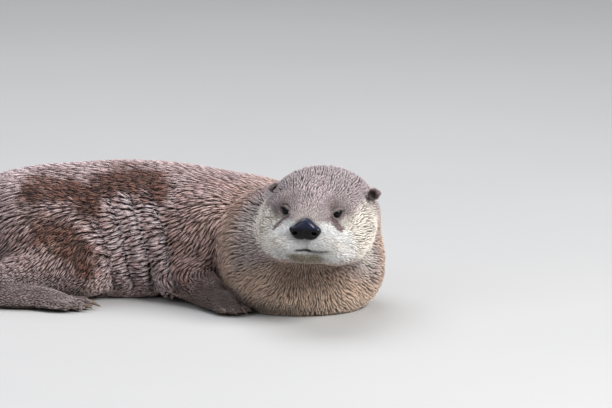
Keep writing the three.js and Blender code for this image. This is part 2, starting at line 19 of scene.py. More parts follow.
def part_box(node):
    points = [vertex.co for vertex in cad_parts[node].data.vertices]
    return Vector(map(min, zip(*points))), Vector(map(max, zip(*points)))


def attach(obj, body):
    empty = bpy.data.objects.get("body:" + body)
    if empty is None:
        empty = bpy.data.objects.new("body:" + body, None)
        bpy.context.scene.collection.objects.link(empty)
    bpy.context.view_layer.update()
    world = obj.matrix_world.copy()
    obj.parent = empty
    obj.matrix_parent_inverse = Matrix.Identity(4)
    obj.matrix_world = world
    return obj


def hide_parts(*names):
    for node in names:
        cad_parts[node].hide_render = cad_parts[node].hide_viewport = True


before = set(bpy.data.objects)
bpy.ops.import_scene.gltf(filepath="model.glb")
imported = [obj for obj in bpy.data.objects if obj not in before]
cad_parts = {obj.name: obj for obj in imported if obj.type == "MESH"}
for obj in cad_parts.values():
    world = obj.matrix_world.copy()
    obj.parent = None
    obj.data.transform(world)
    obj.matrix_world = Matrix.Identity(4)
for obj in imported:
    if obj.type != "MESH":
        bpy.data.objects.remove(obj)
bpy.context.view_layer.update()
LOG = logging.getLogger("otter")
Array = np.ndarray
Form = Callable[[Array], Array]
"""Gives the distance of points to a shape, negative inside it."""
Triple = tuple[float, float, float]
"""A place, a size or a tone."""
STEP = 2.8
"""The grid step of the skin."""


# ---- small sums


def smooth(low: float, high: float, value: Array) -> Array:
    """Rises smoothly from 0 at low to 1 at high; low may be the larger."""
    t = np.clip((value - low) / (high - low), 0.0, 1.0)
    return t * t * (3 - 2 * t)


def mix(a: Array | float, b: Array | float, share: Array) -> Array:
    """Goes evenly from a at share 0 to b at share 1."""
    return a + (b - a) * share


def unit(v: Array) -> Array:
    """Scales vectors to length one."""
    return v / np.maximum(np.linalg.norm(v, axis=-1, keepdims=True), 1e-9)


def linear(red: int, green: int, blue: int) -> Array:
    """Turns a colour of 0 to 255 into linear light."""
    c = np.array([red, green, blue]) / 255
    return np.where(c <= 0.04045, c / 12.92, ((c + 0.055) / 1.055) ** 2.4)


def blended(a: Array, b: Array, width: float) -> Array:
    """Smooth union of two distances, with a fillet as wide as width."""
    h = np.maximum(width - np.abs(a - b), 0) / width
    return np.minimum(a, b) - h * h * width * 0.25


def ellipsoid(p: Array, radii: Triple | Array, power: float = 2.0) -> Array:
    """Distance to an ellipsoid about the origin.

    Args:
        p: points, one a row.
        radii: three half widths, or three of them for each point.
        power: squareness of the lower half; 2 is round.

    Returns:
        One distance a point, true to first order near the surface.
    """
    r = np.asarray(radii, float)
    k = np.linalg.norm(p / r, axis=-1)
    g = np.linalg.norm(p / (r * r), axis=-1)
    d = k * (k - 1) / np.maximum(g, 1e-9)
    if power != 2.0:
        q = np.abs(p / r)
        flat = np.hypot(q[:, 0], q[:, 1])
        low = (flat**power + q[:, 2] ** power) ** (1 / power)
        square = np.linalg.norm(p, axis=-1) * (1 - 1 / np.maximum(low, 1e-6))
        d = np.where(p[:, 2] > 0, d, square)
    return d


def rod(p: Array, a: tuple[float, ...], b: tuple[float, ...]) -> Array:
    """Distance to a straight limb between two joints of (x, y, z, radius).

    Args:
        p: points, one a row.
        a: the first joint.
        b: the second joint.

    Returns:
        One distance a point.
    """
    start, end = np.array(a[:3], float), np.array(b[:3], float)
    run = end - start
    t = np.clip((p - start) @ run / (run @ run), 0, 1)
    off = np.linalg.norm(p - start - t[:, None] * run, axis=1)
    return off - (a[3] + t * (b[3] - a[3]))


def ripple(p: Array, scale: float, seed: int) -> Array:
    """Smooth noise of about -1 to 1 whose lumps are about scale across.

    Args:
        p: points, one a row.
        scale: the width of a lump.
        seed: chooses the pattern.

    Returns:
        One value a point.
    """
    rng = np.random.default_rng(seed)
    total = np.zeros(len(p))
    for octave in range(6):
        wave = unit(rng.normal(size=3)) * (2 * math.pi / scale) * rng.uniform(0.5, 1.4)
        total += np.sin(p @ wave + rng.uniform(0, 6.28) + 0.7 * math.sin(octave))
    return total / 3.2


# ---- the animal's form


@dataclass(frozen=True)
class Lump:
    """One ellipsoid of the head, in the head's own frame."""

    at: Triple
    radii: Triple
    blend: float
    pair: bool = False


@dataclass(frozen=True)
class Foot:
    """The pattern of a paw: origin under the wrist or heel, +x to the toes."""

    palm: Triple
    palm_radii: Triple
    toe_root: float
    fan: tuple[float, ...]
    lengths: tuple[float, ...]
    toe_radius: float
    claw: float

    def toes(self) -> list[tuple[tuple[float, ...], tuple[float, ...]]]:
        """Gives each toe's root and tip as (x, y, z, radius).

        Returns:
            A root and a tip for each toe.
        """
        lines = []
        for degrees, length in zip(self.fan, self.lengths):
            c, s = math.cos(math.radians(degrees)), math.sin(math.radians(degrees))
            r = self.toe_radius
            root = (self.toe_root - 14 + 4 * c, 10 * s, r + 3.5, r)
            tip = (self.toe_root + length * c - 8, length * s * 0.92, r, r * 0.86)
            lines.append((root, tip))
        return lines


FORE = Foot((12, 0, 9.5), (27, 14.5, 11), 20, (-34, -16, 0, 16, 34), (24, 31, 33, 31, 23), 4.9, 7)
HIND = Foot((30, 0, 10), (50, 16, 12), 52, (-27, -13, 0, 13, 26), (40, 50, 54, 50, 38), 5.6, 8)


@dataclass(frozen=True)
class Paw:
    """A paw in its place on the floor, with the side of the CAD node it stands for."""

    name: str
    foot: Foot
    x: float
    y: float
    heading: float

    def local(self, p: Array) -> Array:
        """Turns points into the paw's own frame.

        Args:
            p: points in the drawing's frame.

        Returns:
            The points in the paw's frame.
        """
        c, s = math.cos(math.radians(self.heading)), math.sin(math.radians(self.heading))
        dx, dy = p[:, 0] - self.x, p[:, 1] - self.y
        return np.stack([dx * c + dy * s, dy * c - dx * s, p[:, 2]], axis=1)

    def out(self, q: Array) -> Array:
        """Turns points of the paw's own frame into the drawing's.

        Args:
            q: points in the paw's frame.

        Returns:
            The points in the drawing's frame.
        """
        c, s = math.cos(math.radians(self.heading)), math.sin(math.radians(self.heading))
        return np.stack(
            [q[:, 0] * c - q[:, 1] * s + self.x, q[:, 0] * s + q[:, 1] * c + self.y, q[:, 2]], axis=1
        )

    def distance(self, p: Array) -> Array:
        """Distance to the paw's flesh: palm, toes and the web between them.

        Args:
            p: points in the drawing's frame.

        Returns:
            One distance a point.
        """
        q = self.local(p)
        foot = self.foot
        d = ellipsoid(q - foot.palm, foot.palm_radii)
        for root, tip in foot.toes():
            d = blended(d, rod(q, root, tip), 3.5)
        reach = foot.toe_root + max(foot.lengths) * 0.32
        return blended(d, ellipsoid(q - (reach, 0, 5), (24, 17 if foot is FORE else 23, 2.6)), 4)


PAWS = (
    Paw("forepaw_right", FORE, 8, -104, -48),
    Paw("forepaw_left", FORE, 92, 77, 6),
    Paw("hindpaw_right", HIND, -203, -95, -9),
    Paw("hindpaw_left", HIND, -203, 103, 11),
)


class Sweep:
    """Upright oval sections carried along a spine of (x, y, z, half width, half height)."""

    def __init__(self, stations: tuple[tuple[float, ...], ...], power: float = 2.0) -> None:
        """Follows a smooth curve through the stations.

        Args:
            stations: the sections, in order along the spine.
            power: squareness of the lower half; 2 is round.
        """
        s = np.array(stations, float)
        last = len(s) - 1
        rows = []
        for i in range(last):
            a, b, c, d = (s[min(max(i + k, 0), last)] for k in (-1, 0, 1, 2))
            for t in np.arange(0, 1, 0.2):
                rows.append(
                    b + 0.5 * t * (c - a + t * (2 * a - 5 * b + 4 * c - d + t * (3 * (b - c) + d - a)))
                )
        rows.append(s[-1])
        self.rows = np.array(rows)
        self.power = power

    def distance(self, p: Array) -> Array:
        """Distance to the swept body, true to first order near it.

        Args:
            p: points in the drawing's frame.

        Returns:
            One distance a point.
        """
        best = np.full(len(p), np.inf)
        at = np.zeros(len(p), int)
        share = np.zeros(len(p))
        for i in range(len(self.rows) - 1):
            a, b = self.rows[i, :3], self.rows[i + 1, :3]
            run = b - a
            t = np.clip((p - a) @ run / (run @ run), 0, 1)
            off = p - a - t[:, None] * run
            gap = np.einsum("ij,ij->i", off, off)
            won = gap < best
            best[won], at[won], share[won] = gap[won], i, t[won]
        a, b = self.rows[at], self.rows[at + 1]
        c = mix(a, b, share[:, None])
        way = unit(b[:, :2] - a[:, :2])
        off = p - c[:, :3]
        forward = off[:, 0] * way[:, 0] + off[:, 1] * way[:, 1]
        side = off[:, 0] * way[:, 1] - off[:, 1] * way[:, 0]
        radii = np.stack([c[:, 3], np.minimum(c[:, 3], c[:, 4]), c[:, 4]], axis=1)
        return ellipsoid(np.stack([side, forward, off[:, 2]], axis=1), radii, self.power)


@dataclass
class Head:
    """The head's place, lumps and features, in a frame centred between the ears.

    x runs to the animal's left, -y to the nose, z up.
    """

    at: Triple = (116.4, -128, 118)
    yaw: float = -9.5
    roll: float = 1.4
    lumps: dict[str, Lump] = field(
        default_factory=lambda: {
            "cranium": Lump((-1, -14, -9), (42.5, 50, 32.5), 14),
            "occiput": Lump((0, 22, -26), (47, 40, 38), 20),
            "forehead": Lump((0, -46, -9), (26, 34, 16), 16),
            "bridge": Lump((0, -72, -17), (16, 28, 12), 12),
            "brow": Lump((23, -47, -5), (12, 15, 8.5), 10, True),
            "cheek": Lump((31, -24, -30), (25, 38, 27), 18, True),
            "snout": Lump((0, -64, -31), (33, 31, 19), 14),
            "whisker_pad": Lump((17, -80, -34), (18.5, 18.5, 14.5), 8, True),
            "jowl": Lump((24, -50, -42), (24, 32, 18), 14, True),
            "chin": Lump((0, -74, -46), (19, 18, 9.5), 7),
        }
    )
    middle: float = 1.4
    eye: Triple = (22.8, -62.9, -8.7)
    eye_radius: float = 5.68
    ear: Triple = (47.0, -14, 1.4)
    ear_middle: float = 4.7

    def __post_init__(self) -> None:
        """Works out the turn from the head's frame to the drawing's."""
        a, b = math.radians(self.yaw), math.radians(self.roll)
        about_z = np.array([[math.cos(a), -math.sin(a), 0], [math.sin(a), math.cos(a), 0], [0, 0, 1]])
        about_y = np.array([[math.cos(b), 0, math.sin(b)], [0, 1, 0], [-math.sin(b), 0, math.cos(b)]])
        self.turn = about_z @ about_y

    def local(self, p: Array) -> Array:
        """Turns points of the drawing into the head's frame."""
        return (p - np.array(self.at)) @ self.turn

    def out(self, q: Array) -> Array:
        """Turns points of the head's frame into the drawing's."""
        return np.asarray(q, float) @ self.turn.T + np.array(self.at)

    def distance(self, p: Array) -> Array:
        """Distance to the head over its coat.

        Args:
            p: points in the drawing's frame.

        Returns:
            One distance a point.
        """
        q = self.local(p)
        d = None
        for lump in self.lumps.values():
            for side in (1, -1) if lump.pair else (1,):
                at = (side * lump.at[0], lump.at[1], lump.at[2])
                form = ellipsoid(q - at, lump.radii)
                d = form if d is None else blended(d, form, lump.blend)
        return d

    def eye_at(self, side: int) -> Array:
        """The centre of an eye in the drawing; side is 1 for the left."""
        return self.out((self.middle + side * self.eye[0], self.eye[1], self.eye[2]))


HEAD = Head()
NOSE_TIP = HEAD.out((0, -98, -27))
"""Where the hair of the face and neck radiates from."""


@dataclass(frozen=True)
class Body:
    """The whole animal as one distance: trunk, tail, neck, throat, head, limbs and paws."""

    trunk: Sweep = Sweep(
        (
            (-240, 4, 46, 30, 26), (-222, 4, 50, 50, 40), (-198, 4, 54, 68, 54.5), (-165, 4, 57, 77, 61.5),
            (-120, 4, 58, 81, 64.5), (-72, 4, 58, 81, 67), (-25, 2, 58, 80, 64.5), (12, -2, 57, 77, 60),
            (45, -6, 55, 74, 56), (74, -18, 52, 70, 52),
        ),
        2.7,
    )  # fmt: skip
    neck: Sweep = Sweep(
        (
            (40, -8, 56, 68, 52), (72, -34, 60, 70, 47), (96, -68, 72, 67, 48), (112, -98, 88, 58, 41),
            (118, -120, 100, 48, 32),
        )
    )  # fmt: skip
    tail: Sweep = Sweep(
        (
            (-214, 4, 47, 50, 44), (-246, 6, 38, 42, 37), (-285, 11, 29, 32.5, 29.5),
            (-335, 19, 21.5, 25, 22.5), (-395, 25, 16.5, 19.5, 17.5), (-455, 23, 12.8, 15, 13.8),
            (-515, 11, 9.6, 11, 10.6), (-566, -7, 6.6, 7.4, 7.4), (-602, -24, 3.9, 3.6, 4.5),
        )
    )  # fmt: skip
    limbs: dict[str, tuple[tuple[float, ...], ...]] = field(
        default_factory=lambda: {
            "foreleg_right": ((2, -44, 66, 38), (-20, -62, 28, 24), (8, -98, 16, 15.5)),
            "foreleg_left": ((58, 42, 62, 36), (40, 72, 27, 25), (90, 76, 16, 15.5)),
            "hindleg_right": ((-158, -38, 66, 44), (-120, -60, 38, 34), (-192, -82, 20, 19)),
            "hindleg_left": ((-158, 46, 66, 44), (-120, 66, 38, 34), (-192, 90, 20, 19)),
        }
    )
    throat_at: Triple = (98, -84, 46)
    throat_radii: Triple = (79.5, 79, 58)
    throat_power: float = 2.6
    gullet_at: Triple = (104, -140, 62)
    gullet_radii: Triple = (54, 44, 36)
    far: float = 60.0
    pleats: tuple[Triple, ...] = (
        (-98, 2.6, 4), (-78, 4.4, 4), (-58, 4.8, 4), (-37, 5.0, 4.5), (-14, 1.8, 6),
    )  # fmt: skip

    def near(self, p: Array, low: tuple[float, ...], high: tuple[float, ...], form: Form) -> Array:
        """Works a form out only for the points near its box; elsewhere it is far away.

        Args:
            p: points in the drawing's frame.
            low: the box's lowest corner.
            high: its highest corner.
            form: the distance of points.

        Returns:
            One distance a point.
        """
        out = np.full(len(p), self.far)
        m = np.all((p > np.array(low) - self.far) & (p < np.array(high) + self.far), axis=1)
        if m.any():
            out[m] = form(p[m])
        return out

    def paws(self, p: Array) -> Array:
        """Distance to the nearest paw.

        Args:
            p: points in the drawing's frame.

        Returns:
            One distance a point.
        """
        d = np.full(len(p), self.far)
        for paw in PAWS:
            low = (min(paw.x - 30, paw.x + 20), paw.y - 75, 0)
            high = (paw.x + 105, paw.y + 75, 24)
            d = np.minimum(d, self.near(p, low, high, paw.distance))
        return d

    def outline(self, p: Array) -> Array:
        """Distance to the outline over the coat, the floor left out.

        Args:
            p: points in the drawing's frame.

        Returns:
            One distance a point.
        """
        d = self.near(p, (-240, -80, 0), (90, 90, 125), self.trunk.distance)
        d = blended(d, self.near(p, (-606, -40, 0), (-190, 60, 80), self.tail.distance), 26)
        for joints in self.limbs.values():
            rows = np.array(joints)
            low, high = rows[:, :3].min(0) - 44, rows[:, :3].max(0) + 44
            for a, b in zip(joints, joints[1:]):
                d = blended(d, self.near(p, low, high, lambda q: rod(q, a, b)), 15)
        front = self.near(p, (0, -160, 20), (170, 60, 140), self.neck.distance)
        ball = self.near(
            p,
            (18, -165, 0),
            (178, -5, 104),
            lambda q: ellipsoid(q - self.throat_at, self.throat_radii, self.throat_power),
        )
        front = blended(front, ball, 24)
        gullet = self.near(
            p, (50, -185, 26), (158, -96, 98), lambda q: ellipsoid(q - self.gullet_at, self.gullet_radii)
        )
        skull = self.near(p, (50, -230, 50), (178, -60, 146), HEAD.distance)
        front = blended(front, blended(gullet, skull, 14), 22)
        d = blended(d, front, 9)
        d = blended(d, self.paws(p), 6)
        return d + self.folds(p)

    def folds(self, p: Array) -> Array:
        """How far the pleats of loose skin on the flanks sink the outline.

        Args:
            p: points in the drawing's frame.

        Returns:
            One depth a point.
        """
        x, y, z = p.T
        lean = x + 0.28 * (z - 75) + 1.6 * np.sin(z / 13)
        sunk = np.zeros(len(p))
        for at, depth, wide in self.pleats:
            sunk += depth * np.exp(-(((lean - at) / wide) ** 2))
        return sunk * smooth(20, 62, np.abs(y - 3)) * smooth(114, 90, z) * smooth(4, 20, z)

    def coat_depth(self, p: Array) -> Array:
        """How deep the skin lies under the tips of the coat.

        Args:
            p: points in the drawing's frame.

        Returns:
            One depth a point.
        """
        to_face = np.linalg.norm(HEAD.local(p) - np.array([0, -70, -25]), axis=1)
        depth = mix(1.3, 4.6, smooth(18, 92, to_face))
        depth = np.minimum(depth, mix(1.0, 4.6, smooth(-600, -260, p[:, 0])))
        return np.minimum(depth, 1.0 + 0.16 * np.maximum(self.paws(p) - 1, 0))


BODY = Body()


class Field:
    """Distances on a grid, filled once and then read back anywhere between its points."""

    def __init__(self, low: tuple[float, ...], high: tuple[float, ...], step: float) -> None:
        """Makes an empty grid over a box.

        Args:
            low: the box's lowest corner.
            high: its highest corner.
            step: the grid's step.
        """
        self.low, self.step = np.array(low, float), step
        self.count = (np.ceil((np.array(high) - low) / step / 2) * 2 + 1).astype(int)
        self.value = np.zeros(self.count, np.float32)

    def points(self, first: Array, last: Array, stride: int = 1) -> tuple[Array, tuple[int, ...]]:
        """The grid's points between two corners of indices.

        Args:
            first: the lowest indices.
            last: the highest indices.
            stride: how many steps apart.

        Returns:
            The points, and how many lie along each axis.
        """
        axes = [np.arange(a, b + 1, stride) for a, b in zip(first, last)]
        mesh = np.stack(np.meshgrid(*axes, indexing="ij"), axis=-1)
        return self.low + mesh * self.step, mesh.shape[:3]

    def fill(self, form: Form, finer: list[tuple[tuple[float, ...], ...]]) -> None:
        """Fills the grid from every second point, and from every point in the finer boxes.

        Args:
            form: the distance of points.
            finer: boxes, as low and high corners, that hold small shapes.
        """
        last = self.count - 1
        p, shape = self.points(np.zeros(3, int), last, 2)
        half = form(p.reshape(-1, 3)).reshape(shape)
        for axis in range(3):
            half = self.doubled(half, axis)
        self.value[:] = half
        for low, high in finer:
            first = np.clip(((np.array(low) - self.low) / self.step).astype(int), 0, last)
            end = np.clip(((np.array(high) - self.low) / self.step).astype(int), 0, last)
            p, shape = self.points(first, end)
            block = tuple(slice(a, b + 1) for a, b in zip(first, end))
            self.value[block] = form(p.reshape(-1, 3)).reshape(shape)

    @staticmethod
    def doubled(v: Array, axis: int) -> Array:
        """Puts a smooth midpoint between each two values along an axis.

        Args:
            v: the values.
            axis: the axis to double.

        Returns:
            The values with the midpoints between them.
        """
        v = np.moveaxis(v, axis, 0)
        wide = np.concatenate([v[:1], v, v[-1:]])
        middle = (9 * (wide[1:-2] + wide[2:-1]) - wide[:-3] - wide[3:]) / 16
        out = np.empty((2 * len(v) - 1, *v.shape[1:]))
        out[::2], out[1::2] = v, middle
        return np.moveaxis(out, 0, axis)

    def at(self, p: Array) -> Array:
        """Reads the distance of points, straight between the grid's own.

        Args:
            p: points in the drawing's frame.

        Returns:
            One distance a point.
        """
        q = np.clip((p - self.low) / self.step, 0, self.count - 1.001)
        i = q.astype(int)
        f = q - i
        total = np.zeros(len(p))
        for corner in range(8):
            off = np.array([corner & 1, corner >> 1 & 1, corner >> 2])
            w = np.prod(np.where(off, f, 1 - f), axis=1)
            total += w * self.value[tuple((i + off).T)]
        return total

    def normal(self, p: Array) -> Array:
        """The outward direction at points near the surface.

        Args:
            p: points in the drawing's frame.

        Returns:
            One direction of length one a point.
        """
        h = self.step
        axes = np.eye(3) * h
        return unit(np.stack([self.at(p + a) - self.at(p - a) for a in axes], axis=1))


def surface_net(value: Array, low: Array, step: float) -> tuple[Array, Array]:
    """Draws the zero surface of a grid of distances.

    Args:
        value: the distances, negative inside.
        low: the grid's lowest corner.
        step: the grid's step.

    Returns:
        The vertices, one in each crossed cell, and the quads that face outwards.
    """
    inside = value < 0
    n = np.array(value.shape)
    cells = tuple(n - 1)
    total, hits = np.zeros((*cells, 3)), np.zeros(cells)
    for axis in range(3):
        u, v = (k for k in range(3) if k != axis)
        for a in (0, 1):
            for b in (0, 1):
                start = [slice(0, m - 1) for m in n]
                start[u], start[v] = slice(a, a + n[u] - 1), slice(b, b + n[v] - 1)
                end = list(start)
                end[axis] = slice(1, n[axis])
                p, q = value[tuple(start)], value[tuple(end)]
                cross = (p < 0) != (q < 0)
                t = np.where(cross, p / np.where(cross, p - q, 1), 0)
                total[..., axis] += t
                total[..., u] += a * cross
                total[..., v] += b * cross
                hits += cross
    has = hits > 0
    index = np.full(cells, -1)
    index[has] = np.arange(has.sum())
    corner = np.stack(np.nonzero(has), axis=1)
    vertices = low + (corner + total[has] / hits[has][:, None]) * step
    quads = []
    for axis in range(3):
        u, v = (axis + 1) % 3, (axis + 2) % 3
        span = [slice(1, m - 1) for m in n]
        ahead = list(span)
        ahead[axis] = slice(2, n[axis])
        here, there = inside[tuple(span)], inside[tuple(ahead)]
        grid = np.stack(np.nonzero(here != there), axis=1) + 1
        way = inside[tuple(grid.T)]
        du, dv = np.eye(3, dtype=int)[u], np.eye(3, dtype=int)[v]
        ring = [grid - du - dv, grid - dv, grid, grid - du]
        quad = np.stack([index[tuple(c.T)] for c in ring], axis=1)
        quad[~way] = quad[~way][:, ::-1]
        quads.append(quad)
    return vertices, np.concatenate(quads)


def refined(points: Array, tris: Array, chosen: Array) -> tuple[Array, Array]:
    """Splits the chosen triangles in four, and their neighbours so that no gap opens.

    Args:
        points: the vertices.
        tris: three vertex numbers a row.
        chosen: True for each triangle to split.

    Returns:
        The vertices with the new midpoints after them, and the new triangles.
    """
    ends = np.sort(tris[:, [0, 1, 1, 2, 2, 0]].reshape(-1, 2), axis=1)
    key, back = np.unique(ends[:, 0] * len(points) + ends[:, 1], return_inverse=True)
    back = back.reshape(-1, 3)
    marked = np.zeros(len(key), bool)
    marked[back[chosen]] = True
    number = np.full(len(key), -1)
    number[marked] = len(points) + np.arange(marked.sum())
    a, b = np.divmod(key[marked], len(points))
    points = np.concatenate([points, (points[a] + points[b]) / 2])
    middle = number[back]
    count = (middle >= 0).sum(1)
    out = [tris[count == 0]]
    for turn in range(3):
        t, k = np.roll(tris, -turn, axis=1), np.roll(middle, -turn, axis=1)
        one = (count == 1) & (k[:, 0] >= 0)
        a, b, c, ab = *t[one].T, k[one, 0]
        out += [np.stack([a, ab, c], 1), np.stack([ab, b, c], 1)]
        two = (count == 2) & (k[:, 2] < 0)
        a, b, c, ab, bc = *t[two].T, k[two, 0], k[two, 1]
        out += [np.stack([ab, b, bc], 1), np.stack([a, ab, bc], 1), np.stack([a, bc, c], 1)]
    full = count == 3
    (a, b, c), (ab, bc, ca) = tris[full].T, middle[full].T
    for corner in ((a, ab, ca), (ab, b, bc), (ca, bc, c), (ab, bc, ca)):
        out.append(np.stack(corner, 1))
    return points, np.concatenate(out)


def settled(
    points: Array, tris: Array, form: Form, moving: Array, rounds: int, limit: float
) -> Array:
    """Evens vertices out along a surface and draws them onto it.

    Args:
        points: the vertices.
        tris: the triangles.
        form: the distance of points.
        moving: True for each vertex that may move.
        rounds: how often to repeat.
        limit: the longest move of a round.

    Returns:
        The moved vertices.
    """
    points = points.copy()
    ends = np.concatenate([tris[:, [0, 1]], tris[:, [1, 2]], tris[:, [2, 0]]])
    ends = ends[moving[ends[:, 0]]]
    rows = np.nonzero(moving)[0]
    for _ in range(rounds):
        total = np.zeros_like(points)
        for axis in range(3):
            total[:, axis] = np.bincount(ends[:, 0], points[ends[:, 1], axis], len(points))
        share = np.bincount(ends[:, 0], minlength=len(points))
        p = mix(points[rows], total[rows] / np.maximum(share[rows], 1)[:, None], 0.5)
        d = form(p)
        slope = np.stack([form(p + a) - d for a in np.eye(3) * 0.05], axis=1) / 0.05
        move = -slope * (d / np.maximum((slope**2).sum(1), 0.25))[:, None]
        size = np.linalg.norm(move, axis=1, keepdims=True)
        points[rows] = p + move * np.minimum(1, limit / np.maximum(size, 1e-9))
    return points


# ---- meshes

EYE_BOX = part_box("eye_left")
OFFSET = np.array([(a + b) * 500 for a, b in zip(*EYE_BOX)]) - HEAD.eye_at(1)
"""From the drawing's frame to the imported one."""


@dataclass
class Piece:
    """A mesh on its way to Blender, in the drawing's frame and millimetres."""

    name: str
    points: Array
    faces: Array
    slot: str
    colours: dict[str, Array] = field(default_factory=dict)
    values: dict[str, Array] = field(default_factory=dict)
    maps: dict[str, Array] = field(default_factory=dict)

    def made(self, finish: bpy.types.Material) -> bpy.types.Object:
        """Makes the object, with its finish, on the part's one body.

        Args:
            finish: the material.

        Returns:
            The new object, in metres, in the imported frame.
        """
        mesh = bpy.data.meshes.new(self.name)
        mesh.vertices.add(len(self.points))
        place = (self.points + OFFSET) / 1000
        mesh.vertices.foreach_set("co", place.astype(np.float32).ravel())
        count, sides = self.faces.shape
        mesh.loops.add(count * sides)
        mesh.loops.foreach_set("vertex_index", self.faces.astype(np.int32).ravel())
        mesh.polygons.add(count)
        mesh.polygons.foreach_set("loop_start", np.arange(0, count * sides, sides, dtype=np.int32))
        mesh.polygons.foreach_set("use_smooth", np.ones(count, bool))
        for name, rows in self.colours.items():
            full = np.concatenate([rows, np.ones((len(rows), 1))], axis=1).astype(np.float32)
            mesh.attributes.new(name, "FLOAT_COLOR", "POINT").data.foreach_set("color", full.ravel())
        for name, rows in self.values.items():
            mesh.attributes.new(name, "FLOAT", "POINT").data.foreach_set("value", rows.astype(np.float32))
        for name, rows in self.maps.items():
            mesh.uv_layers.new(name=name).uv.foreach_set("vector", rows.astype(np.float32).ravel())
        mesh.update(calc_edges=True)
        made = bpy.data.objects.new(self.name, mesh)
        bpy.context.scene.collection.objects.link(made)
        mesh.materials.append(finish)
        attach(made, "root")
        LOG.info("%s: %d faces", self.name, count)
        return made


# ---- markings


class Tone(Enum):
    """The colours of the coat and skin, as the eye sees them; some hold painted light, sheen and shade."""

    # BACK: partly the back's own grey-brown, partly painted violet sky sheen.
    BACK = (136, 113, 110)
    FLANK = (116, 84, 72)
    # Painted sheen: the grey sky reflection on the tips of wet locks.
    PAINTED_SHEEN = (204, 191, 197)
    RUST = (78, 46, 34)
    WHORL = (124, 94, 80)
    STREAK = (84, 60, 52)
    SHOULDER = (152, 123, 112)
    NECK = (158, 129, 109)
    THROAT = (194, 168, 148)
    BREAST = (232, 208, 188)
    # UNDER_CHIN: partly darker fur, partly painted shade under the chin's overhang.
    UNDER_CHIN = (130, 105, 86)
    CROWN = (148, 134, 133)
    WHITE = (247, 247, 246)
    CHEEK = (224, 216, 205)
    CHIN = (152, 142, 124)
    # Painted shade over each sunken eye.
    EYE_HOLLOW_SHADE = (94, 68, 57)
    # STRIPE: partly the face's own brown, partly painted shade of the crease under each eye.
    STRIPE = (86, 54, 42)
    EAR = (122, 102, 94)
    EAR_INSIDE = (34, 25, 22)
    LIP = (38, 28, 26)
    # LID: the dark rims of the lids, also laid as painted shade in the crease over the upper lid.
    LID = (30, 23, 21)
    # Painted light on the fold over the upper lid.
    LID_FOLD_LIGHT = (142, 126, 124)
    # A bluish painted sky reflection on the pad's upper plane, over its black.
    NOSE_TOP_SHEEN = (30, 33, 48)
    NOSE_FRONT = (4, 4, 5)
    PAW = (84, 66, 56)
    TAIL = (106, 86, 74)
    TAIL_TIP = (82, 66, 56)

    @property
    def light(self) -> Array:
        """The tone in linear light."""
        return linear(*self.value)


def line_gap(a: Array, b: Array, points: tuple[tuple[float, float], ...]) -> Array:
    """Distance in a plane from points (a, b) to a line of straight lengths.

    Args:
        a: the points' first coordinate.
        b: their second coordinate.
        points: the corners of the line.

    Returns:
        One distance a point.
    """
    best = np.full(len(a), np.inf)
    p = np.stack([a, b], axis=1)
    for start, end in zip(np.array(points, float), np.array(points[1:], float)):
        run = end - start
        t = np.clip((p - start) @ run / (run @ run), 0, 1)
        best = np.minimum(best, np.linalg.norm(p - start - t[:, None] * run, axis=1))
    return best


